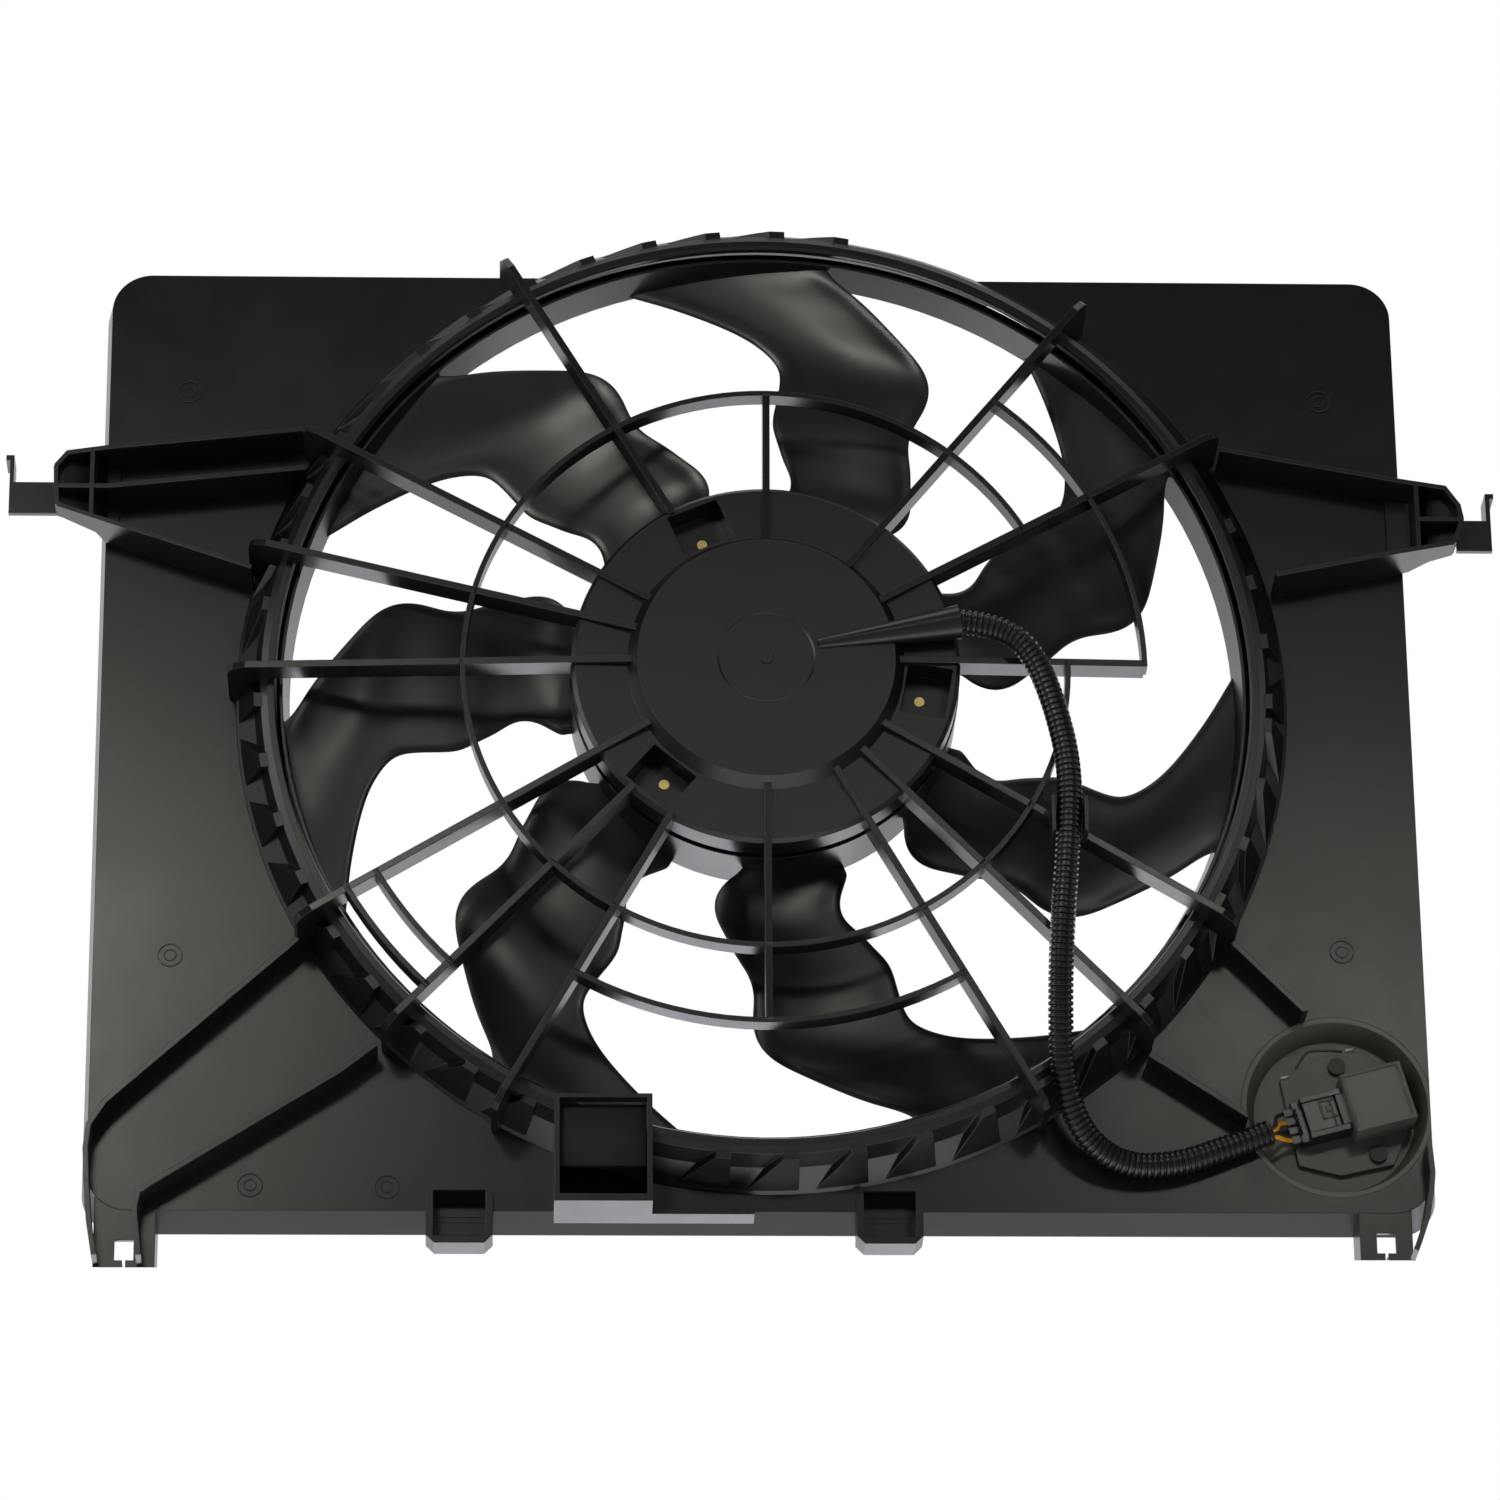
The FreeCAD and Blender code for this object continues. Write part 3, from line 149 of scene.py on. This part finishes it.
plasticSet = {
    "shroud": {"dark": (0.0032, 0.0032, 0.0036), "pale": (0.0068, 0.0068, 0.0072),
               "rough": 0.30, "grain": 0.10},
    # painted shade: a near-black, rougher copy of the shroud plastic for the shadowed inside of the bracket
    # box
    "paintedShade": {"dark": (0.0012, 0.0012, 0.0014), "pale": (0.0025, 0.0025, 0.0027),
               "rough": 0.62, "grain": 0.10},
    "fan": {"dark": (0.0045, 0.0045, 0.0048), "pale": (0.0115, 0.0115, 0.0112),
            "rough": 0.30, "grain": 0.06},
    "conduit": {"dark": (0.003, 0.003, 0.0035), "pale": (0.007, 0.007, 0.0075),
                "rough": 0.30, "grain": 0.04},
    # pocket: painted sheen, a paler copy of the shroud plastic for the pocket around the module
    "pocket": {"dark": (0.074, 0.074, 0.062), "pale": (0.116, 0.116, 0.098),
               "rough": 0.36, "grain": 0.12},
    "module": {"dark": (0.062, 0.062, 0.053), "pale": (0.096, 0.096, 0.083),
               "rough": 0.36, "grain": 0.08},
    "connector": {"dark": (0.0035, 0.0035, 0.005), "pale": (0.008, 0.008, 0.010),
                  "rough": 0.28, "grain": 0.05},
    "lock": {"dark": (0.11, 0.11, 0.10), "pale": (0.17, 0.17, 0.155),
             "rough": 0.42, "grain": 0.05},
}


def mouldedPlastic(name, look):
    finish = Finish(name + "Plastic")
    spots = finish.where()
    flow = finish.noise(spots, 7.0, 3.0)  # slow marks of the melt's flow
    dust = finish.noise(spots, 60.0, 4.0, 0.6)
    grain = finish.noise(spots, 1400.0, 2.0)
    shade = flow * 0.7 + dust * 0.3
    finish.feed("Base Color", finish.blend(shade, look["dark"] + (1.0,), look["pale"] + (1.0,)))
    finish.feed("Roughness", look["rough"] - 0.08 + flow * 0.10 + dust * 0.08)
    finish.bump(grain * 0.7 + dust * 0.3, look["grain"], 0.0004, edge=0.0006)
    return finish.material


metalSet = {
    "steel": {"dark": (0.30, 0.30, 0.31), "pale": (0.52, 0.52, 0.53), "rough": 0.34},
    "zinc": {"dark": (0.52, 0.33, 0.08), "pale": (0.90, 0.72, 0.33), "rough": 0.27},
    "copper": {"dark": (0.42, 0.14, 0.05), "pale": (0.72, 0.32, 0.13), "rough": 0.30},
    "bronze": {"dark": (0.36, 0.22, 0.10), "pale": (0.58, 0.42, 0.2), "rough": 0.4},
    "core": {"dark": (0.12, 0.12, 0.13), "pale": (0.25, 0.25, 0.26), "rough": 0.42},
    "black": {"dark": (0.03, 0.03, 0.03), "pale": (0.07, 0.07, 0.068), "rough": 0.36},
}


def bareMetal(name, look):
    finish = Finish(name + "Metal", metallic=1.0)
    spots = finish.where()
    wear = finish.noise(spots, 260.0, 4.0, 0.65)
    finish.feed("Base Color", finish.blend(wear, look["dark"] + (1.0,), look["pale"] + (1.0,)))
    finish.feed("Roughness", look["rough"] + wear * 0.15)
    finish.bump(wear, 0.06, 0.0003)
    return finish.material


def softFinish(name, dark, pale, rough):  # rubber, carbon and ferrite
    finish = Finish(name + "Soft")
    speckle = finish.noise(finish.where(), 420.0, 3.0)
    finish.feed("Base Color", finish.blend(speckle, dark + (1.0,), pale + (1.0,)))
    finish.feed("Roughness", rough + speckle * 0.1)
    finish.bump(speckle, 0.08, 0.0003)
    return finish.material


plastics = {name: mouldedPlastic(name, look) for name, look in plasticSet.items()}
metals = {name: bareMetal(name, look) for name, look in metalSet.items()}
rubber = softFinish("seal", (0.16, 0.16, 0.155), (0.25, 0.25, 0.24), 0.5)
ferrite = softFinish("ferrite", (0.035, 0.035, 0.037), (0.07, 0.07, 0.072), 0.6)
carbon = softFinish("carbon", (0.012, 0.012, 0.012), (0.03, 0.03, 0.03), 0.5)
leadColours = {
    "orange": softFinish("orangeLead", (0.88, 0.30, 0.012), (1.0, 0.46, 0.03), 0.30),
    "black": softFinish("blackLead", (0.012, 0.012, 0.013), (0.022, 0.022, 0.024), 0.34),
}

slotFinish = {
    "shroud_plastic": plastics["shroud"],
    "fan_plastic": plastics["fan"],
    "conduit_plastic": plastics["conduit"],
    "module_plastic": plastics["module"],
    "connector_plastic": plastics["connector"],
    "lock_plastic": plastics["lock"],
    "lead_plastic": leadColours["orange"],
    "seal_rubber": rubber,
    "zinc_screw": metals["zinc"],
    "steel": metals["steel"],
    "magnet": ferrite,
    "core_steel": metals["core"],
    "copper": metals["copper"],
    "carbon": carbon,
    "bronze": metals["bronze"],
}
# The pocket's paler colour is a painted sheen on the shroud moulding, and the module's screws are blackened.
nodeFinish = {"module_pocket": plastics["pocket"], "module_screws": metals["black"]}
for part in frame["record"]["subparts"]:
    piece = nodes[part["node"]]
    piece.data.materials.clear()
    piece.data.materials.append(nodeFinish.get(part["node"]) or slotFinish[part["material_slot"]])


def finished(name, mesh, body, slotName, material, *replaced):  # a bmesh becomes a piece of the object
    data = bpy.data.meshes.new(name)
    mesh.to_mesh(data)
    mesh.free()
    piece = bpy.data.objects.new(name, data)
    bpy.context.scene.collection.objects.link(piece)
    for each in material if isinstance(material, (list, tuple)) else (material,):
        data.materials.append(each)
    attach(piece, body)
    if replaced:
        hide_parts(*replaced)
    return piece


def smooth(piece, angle):
    piece.data.polygons.foreach_set("use_smooth", [True] * len(piece.data.polygons))
    piece.data.set_sharp_from_angle(angle=math.radians(angle))
    return piece


print("conduit")

conduitSet = {
    "crest": 6.0,
    "root": 5.05,
    "pitch": 2.9,
    "sides": 28,
    "length": 0.379,
    "profile": [(0.0, "root"), (0.14, "root"), (0.30, "crest"), (0.78, "crest"), (0.94, "root")],
    "route": [
        (93, 77, 18.2), (112, 77.5, 16.5), (127, 78, 3.5), (137, 77.5, -22), (144.5, 76.5, -58),
        (142, 76, -99), (138, 72, -143), (137, 64, -180), (138, 54, -207), (147, 41, -230),
        (166, 34, -243.5), (191, 32.5, -243), (216, 31.5, -234), (238, 30.5, -225.2),
    ],
}


def smoothLine(name, route):  # points along the NURBS line of a route
    curve = bpy.data.curves.new(name, "CURVE")
    curve.dimensions = "3D"
    curve.resolution_u = 40
    spline = curve.splines.new("NURBS")
    spline.points.add(len(route) - 1)
    for point, spot in zip(spline.points, route):
        point.co = (*spot, 1.0)
    spline.order_u = 3
    spline.use_endpoint_u = True
    holder = bpy.data.objects.new(name, curve)
    line = bpy.data.meshes.new_from_object(holder)
    points = [vertex.co.copy() for vertex in line.vertices]
    bpy.data.objects.remove(holder)
    bpy.data.meshes.remove(line)
    return points


def lineLength(points):
    return sum((b - a).length for a, b in zip(points, points[1:]))


def evenly(points, step):  # the same line with points a fixed step apart
    total = lineLength(points)
    count = max(2, round(total / step))
    spots, walked, index = [points[0]], 0.0, 0
    for number in range(1, count):
        target = total * number / count
        while walked + (points[index + 1] - points[index]).length < target:
            walked += (points[index + 1] - points[index]).length
            index += 1
        share = (target - walked) / (points[index + 1] - points[index]).length
        spots.append(points[index].lerp(points[index + 1], share))
    return spots + [points[-1]]


def tubeAlong(spots, radii, sides):
    mesh = bmesh.new()
    side = Vector((0, 0, 1))
    before = None
    for index, spot in enumerate(spots):
        ahead = (spots[min(index + 1, len(spots) - 1)] - spots[max(index - 1, 0)]).normalized()
        side = (side - ahead * side.dot(ahead)).normalized()
        turn = Matrix((side, ahead.cross(side), ahead)).transposed().to_4x4()
        ring = bmesh.ops.create_circle(mesh, segments=sides, radius=radii[index],
                                       matrix=Matrix.Translation(spot) @ turn)["verts"]
        edges = list({edge for vertex in ring for edge in vertex.link_edges
                      if edge.other_vert(vertex) in ring})
        if before:
            bmesh.ops.bridge_loops(mesh, edges=before + edges)
        before = edges
    bmesh.ops.holes_fill(mesh, edges=[edge for edge in mesh.edges if edge.is_boundary], sides=0)
    bmesh.ops.recalc_face_normals(mesh, faces=mesh.faces)
    return mesh


def makeConduit(look):
    line = smoothLine("conduitLine", [place(*spot) for spot in look["route"]])
    spots = evenly(line, look["pitch"] * mm)
    stations, radii = [], []
    for spot, following in zip(spots, spots[1:]):
        for share, kind in look["profile"]:
            stations.append(spot.lerp(following, share))
            radii.append(look[kind] * mm)
    stations.append(spots[-1])
    radii.append(look["root"] * mm)
    mesh = tubeAlong(stations, radii, look["sides"])
    piece = finished("conduit_corrugated", mesh, "root", "conduit_plastic", plastics["conduit"], "conduit")
    smooth(piece, 50)
    print("conduit length", round(lineLength(line), 4))


makeConduit(conduitSet)

print("screws")

screwSet = {
    "angles": (113.2, -10.3, -130.3),
    "circle": 75.5,
    "seat": 54.0,
    "headRadius": 4.0,
    "headHeight": 2.8,
    "headRound": 1.3,
    "shankRadius": 2.5,
    "length": 10.0,
    "crossBars": [(4.6, 1.1), (1.0989, 4.6)],
    "crossDepth": 1.4,
}


def carved(body, cutter):  # the first mesh without the second
    solids = []
    for name, mesh in (("carvedBody", body), ("carvedTool", cutter)):
        data = bpy.data.meshes.new(name)
        mesh.to_mesh(data)
        mesh.free()
        solids.append(bpy.data.objects.new(name, data))
        bpy.context.scene.collection.objects.link(solids[-1])
    cut = solids[0].modifiers.new("cut", "BOOLEAN")
    cut.operation = "DIFFERENCE"
    cut.solver = "EXACT"
    cut.object = solids[1]
    result = bmesh.new()
    result.from_object(solids[0], bpy.context.evaluated_depsgraph_get())
    for solid in solids:
        data = solid.data
        bpy.data.objects.remove(solid)
        bpy.data.meshes.remove(data)
    return result


def gathered(meshes):  # several meshes as one
    whole = bmesh.new()
    for mesh in meshes:
        data = bpy.data.meshes.new("gathered")
        mesh.to_mesh(data)
        mesh.free()
        whole.from_mesh(data)
        bpy.data.meshes.remove(data)
    return whole


def screwHead(look):
    head = bmesh.new()
    height = look["headHeight"]
    bmesh.ops.create_cone(head, cap_ends=True, segments=32, radius1=look["headRadius"],
                          radius2=look["headRadius"], depth=height,
                          matrix=Matrix.Translation((0, 0, height / 2)))
    top = [edge for edge in head.edges if all(vertex.co.z > height - 0.01 for vertex in edge.verts)]
    bmesh.ops.bevel(head, geom=top, offset=look["headRound"], segments=4, profile=0.5, affect="EDGES",
                    material=-1)
    cross = bmesh.new()
    for bar in look["crossBars"]:
        bmesh.ops.create_cube(cross, size=1.0, matrix=Matrix.Translation((0, 0, height)) @ Matrix.Diagonal(
            (*bar, 2 * look["crossDepth"], 1)))
    return carved(head, cross)


def makeScrews(look):
    screws = []
    for angle in look["angles"]:
        one = screwHead(look)
        bmesh.ops.create_cone(one, cap_ends=True, segments=20, radius1=look["shankRadius"],
                              radius2=look["shankRadius"], depth=look["length"],
                              matrix=Matrix.Translation((0, 0, -look["length"] / 2)))
        bmesh.ops.scale(one, verts=one.verts, vec=(mm, mm, mm))
        theta = math.radians(angle)
        centre = place(look["circle"] * math.cos(theta), look["seat"], look["circle"] * math.sin(theta))
        bmesh.ops.transform(one, verts=one.verts, matrix=Matrix.Translation(centre) @ Matrix.Rotation(
            math.radians(90), 4, "X") @ Matrix.Rotation(theta, 4, "Z"))
        screws.append(one)
    piece = finished("screws_pan_head", gathered(screws), "root", "zinc_screw", metals["zinc"],
                     "motor_screws")
    smooth(piece, 40)


makeScrews(screwSet)

print("bracket box")

# A near-black plate across the upper part of the bracket box is painted shade: it darkens the inside of the
# box, where the real box is open and lies in shadow.
sillSet = {
    "middle": (-78.0, -234.5),
    "spread": (40.8, 31.0),
    "back": 45.0,
    "front": 48.6,
    "edge": 0.5,
}


def makeSill(look):
    mesh = bmesh.new()
    middle = place(look["middle"][0], (look["back"] + look["front"]) / 2, look["middle"][1])
    spread = Vector((look["spread"][0], look["front"] - look["back"], look["spread"][1])) * mm
    bmesh.ops.create_cube(mesh, size=1.0, matrix=Matrix.Translation(middle) @ Matrix.Diagonal((*spread, 1)))
    bmesh.ops.bevel(mesh, geom=mesh.edges[:], offset=look["edge"] * mm, segments=2, profile=0.5,
                    affect="EDGES", material=-1)
    # painted shade: the plate takes the near-black shade finish
    smooth(finished("bracket_box_shade_sill", mesh, "root", "shroud_plastic", plastics["paintedShade"]), 30)


makeSill(sillSet)

print("mould marks")

markSet = {
    "rings": [(5.3, 6.0, 0.45), (2.52, 3.12, 0.315)],  # inner radius, outer radius and height
    "face": 24.0,
    "sunk": 0.2,
    "spots": [(-281.3, 165.8), (277.7, 164.5), (-284, -134.4), (276.7, -130.4), (-243.7, -250.9),
              (-179.4, -251.7)],
}


def ringMesh(x, z, inner, outer, back, front, steps=40):  # a flat ring that faces the engine
    mesh = bmesh.new()
    corners = [place(x + radius, depth, z) for radius, depth in
               ((inner, back), (inner, front), (outer, front), (outer, back))]
    points = [mesh.verts.new(corner) for corner in corners]
    edges = [mesh.edges.new((points[index], points[(index + 1) % 4])) for index in range(4)]
    bmesh.ops.spin(mesh, geom=points + edges, cent=place(x, back, z), axis=(0, -1, 0), angle=2 * math.pi,
                   steps=steps, use_merge=True)
    bmesh.ops.recalc_face_normals(mesh, faces=mesh.faces)
    return mesh


def makeMarks(look):
    face = look["face"]
    rings = [ringMesh(x, z, inner, outer, face - look["sunk"], face + height)
             for x, z in look["spots"] for inner, outer, height in look["rings"]]
    smooth(finished("panel_mould_marks", gathered(rings), "root", "shroud_plastic", plastics["shroud"]), 30)


makeMarks(markSet)

print("band lip")

# The band's back edge turns outwards behind the barrel's throat and hides the running gap from the front.
lipSet = {"inner": 235.5, "outer": 245.5, "back": 21.0, "front": 22.4, "steps": 180}


def makeLip(look):
    ring = ringMesh(0, 0, look["inner"], look["outer"], look["back"], look["front"], look["steps"])
    smooth(finished("band_back_lip", ring, "fan", "fan_plastic", plastics["fan"]), 30)


makeLip(lipSet)

print("connector")

plugSet = {
    "middle": (271, -210),
    "turn": 15.0,
    "leads": [(-8.6, "orange"), (-4.0, "black"), (0.6, "orange"), (5.2, "black")],
    "leadRadius": 1.05,
    # A lead's points: how far along, how deep, how high, and the share of its level added to the height.
    "leadRoute": [(-36.2, 30.0, -6.1, 0.28), (-32.7, 28.5, -6.1, 0.30), (-29.5, 22.5, -1.0, 0.85),
                  (-26.0, 18.1, 0.0, 1.0), (-24.0, 17.5, 0.0, 1.0)],
    # The blocks below give left, right, bottom, top, back and front in the module's own turned frame.
    "grips": [(-20.6, -19.4, low, low + 1.1, 16.0, 24.6) for low in (-8.2, -5.9, -3.6, -1.3, 1.0, 3.3)],
    "latchPad": [(-8.0, -1.0, 3.9, 5.0, 24.2, 25.0), (-8.0, -1.0, -4.6, -3.5, 24.2, 25.0),
                 (-8.4, -7.2, -4.6, 5.0, 24.2, 25.0), (-5.6, -2.2, -1.6, 1.8, 24.2, 24.8)],
    "housingRibs": [(6.0, 32.6, 11.2, 12.2, 29.8, 30.6), (31.6, 32.8, -14.2, 11.2, 29.8, 30.6),
                    (4.4, 5.6, -14.4, 12.4, 29.8, 30.8)],
    "floorLine": [(-10.3, 28.6), (-5.1, 33.8), (0.2, 36.2), (13.8, 31.2)],
    "floorLineDepth": 10.3,
    "floorLineRadius": 0.55,
    "clips": [(-19.7, -15.3, 23.6, 25.2, 12.8, 14.0), (14.7, 19.1, 29.2, 30.8, 12.8, 14.0)],
}


def inModule(along, depth, up):  # a point in the control module's own turned frame
    turn = math.radians(plugSet["turn"])
    return place(plugSet["middle"][0] + along * math.cos(turn) - up * math.sin(turn), depth,
                 plugSet["middle"][1] + along * math.sin(turn) + up * math.cos(turn))


def moduleBlocks(name, body, slotName, material, blocks, edge=0.25):
    mesh = bmesh.new()
    for left, right, bottom, top, back, front in blocks:
        centre = inModule((left + right) / 2, (back + front) / 2, (bottom + top) / 2)
        spread = Vector((right - left, front - back, top - bottom)) * mm
        bmesh.ops.create_cube(mesh, size=1.0, matrix=Matrix.Translation(centre) @ Matrix.Rotation(
            -math.radians(plugSet["turn"]), 4, "Y") @ Matrix.Diagonal((*spread, 1)))
    bmesh.ops.bevel(mesh, geom=mesh.edges[:], offset=edge * mm, segments=2, profile=0.5, affect="EDGES",
                    material=-1)
    smooth(finished(name, mesh, body, slotName, material), 30)


def makeLeads(look):
    colours = ["black", "orange"]
    tubes = []
    for level, colour in look["leads"]:
        route = [inModule(along, depth, up + level * share) for along, depth, up, share in look["leadRoute"]]
        spots = evenly(smoothLine("leadLine", route), 0.6 * mm)
        tube = tubeAlong(spots, [look["leadRadius"] * mm] * len(spots), 12)
        for face in tube.faces:
            face.material_index = colours.index(colour)
        tubes.append(tube)
    smooth(finished("plug_leads_curved", gathered(tubes), "root", "lead_plastic",
                    [leadColours[colour] for colour in colours], "plug_leads"), 50)


def makeModuleDetails(look):
    moduleBlocks("plug_grip_ribs", "root", "connector_plastic", plastics["connector"], look["grips"])
    moduleBlocks("latch_pad", "latch", "connector_plastic", plastics["module"], look["latchPad"], 0.2)
    moduleBlocks("housing_rim", "root", "module_plastic", plastics["module"], look["housingRibs"])
    route = [inModule(along, look["floorLineDepth"], up) for along, up in look["floorLine"]]
    spots = evenly(smoothLine("floorLine", route), mm)
    line = tubeAlong(spots, [look["floorLineRadius"] * mm] * len(spots), 10)
    smooth(finished("pocket_floor_line", line, "root", "shroud_plastic", plastics["module"]), 40)
    moduleBlocks("module_clips", "root", "steel", metals["steel"], look["clips"], 0.4)


makeLeads(plugSet)
makeModuleDetails(plugSet)

print("light and floor")

studioSet = {
    "floorDrop": 2.2,
    "frontGlow": 0.035,
    "backGlow": 1.0,
    "glowFrom": -0.05,
    "glowTo": 0.45,
}


def softLight(name, spot, target, width, height, power, colour=(1.0, 1.0, 1.0)):
    lamp = bpy.data.lights.new(name, "AREA")
    lamp.shape = "RECTANGLE"
    lamp.size = width
    lamp.size_y = height
    lamp.energy = power
    lamp.color = colour
    holder = bpy.data.objects.new(name, lamp)
    holder.location = spot
    holder.rotation_euler = (Vector(target) - Vector(spot)).to_track_quat("-Z", "Y").to_euler()
    bpy.context.scene.collection.objects.link(holder)


def makeStudio(look):
    world = bpy.data.worlds.new("studio")
    bpy.context.scene.world = world
    world.use_nodes = True
    tree = world.node_tree
    # The backdrop behind the object is bright, and the room in front of it is dim. The camera sees white all
    # round, and a shine or a clear piece shows white where it looks at the backdrop.
    facing = tree.nodes.new("ShaderNodeTexCoord")
    parts = tree.nodes.new("ShaderNodeSeparateXYZ")
    reach = tree.nodes.new("ShaderNodeMapRange")
    reach.inputs["From Min"].default_value = look["glowFrom"]
    reach.inputs["From Max"].default_value = look["glowTo"]
    tree.links.new(facing.outputs["Generated"], parts.inputs[0])
    tree.links.new(parts.outputs["Y"], reach.inputs["Value"])
    behind = Link(tree, reach.outputs["Result"])
    plain = tree.nodes["Background"]
    plain.inputs["Color"].default_value = (1.0, 1.0, 1.0, 1.0)
    strength = behind * (look["backGlow"] - look["frontGlow"]) + look["frontGlow"]
    tree.links.new(strength.socket, plain.inputs["Strength"])
    white = tree.nodes.new("ShaderNodeBackground")
    white.inputs["Color"].default_value = (1.0, 1.0, 1.0, 1.0)
    white.inputs["Strength"].default_value = 1.0
    choice = tree.nodes.new("ShaderNodeMixShader")
    path = tree.nodes.new("ShaderNodeLightPath")
    seen, glossy, clear = (Link(tree, path.outputs["Is %s Ray" % kind])
                           for kind in ("Camera", "Glossy", "Transmission"))
    share = seen.maths("MAXIMUM", (glossy + clear) * behind)
    tree.links.new(share.socket, choice.inputs[0])
    tree.links.new(plain.outputs[0], choice.inputs[1])
    tree.links.new(white.outputs[0], choice.inputs[2])
    tree.links.new(choice.outputs[0], tree.nodes["World Output"].inputs[0])
    floorMesh = bmesh.new()
    bmesh.ops.create_grid(floorMesh, x_segments=1, y_segments=1, size=12.0,
                          matrix=Matrix.Translation((0, 0, -look["floorDrop"])))
    data = bpy.data.meshes.new("floor")
    floorMesh.to_mesh(data)
    floorMesh.free()
    floor = bpy.data.objects.new("floor", data)
    bpy.context.scene.collection.objects.link(floor)
    paint = bpy.data.materials.new("paleFloor")
    paint.use_nodes = True
    paint.node_tree.nodes["Principled BSDF"].inputs["Base Color"].default_value = (0.8, 0.8, 0.8, 1.0)
    paint.node_tree.nodes["Principled BSDF"].inputs["Roughness"].default_value = 0.8
    data.materials.append(paint)


makeStudio(studioSet)
softLight("topBox", (0.0, -0.7, 1.9), (0, 0, 0), 2.2, 0.8, 11.0)
softLight("leftBox", (-0.50, -1.2, 0.30), (-0.45, 0, 0.30), 0.30, 0.16, 2.8, (1.0, 1.0, 0.90))
softLight("rightBox", (0.43, -1.2, 0.27), (0.40, 0, 0.27), 0.18, 0.14, 1.1, (1.0, 1.0, 0.90))
softLight("tableGlow", (0.0, 1.5, -0.68), (0, 0, 0), 2.6, 0.34, 10.5, (0.93, 0.93, 1.0))
softLight("discBox", (0.05, -1.3, 0.46), (0.05, 0, 0.4), 0.4, 0.16, 0.4)
softLight("farLeftBox", (-2.4, -0.6, 0.3), (0, 0, 0), 0.9, 1.8, 14.0)
softLight("farRightBox", (2.4, -0.6, 0.3), (0, 0, 0), 0.9, 1.8, 5.0)
softLight("lowBox", (0.0, -0.2, -1.7), (0, 0, 0), 2.2, 1.0, 12.0, (0.94, 0.94, 1.0))
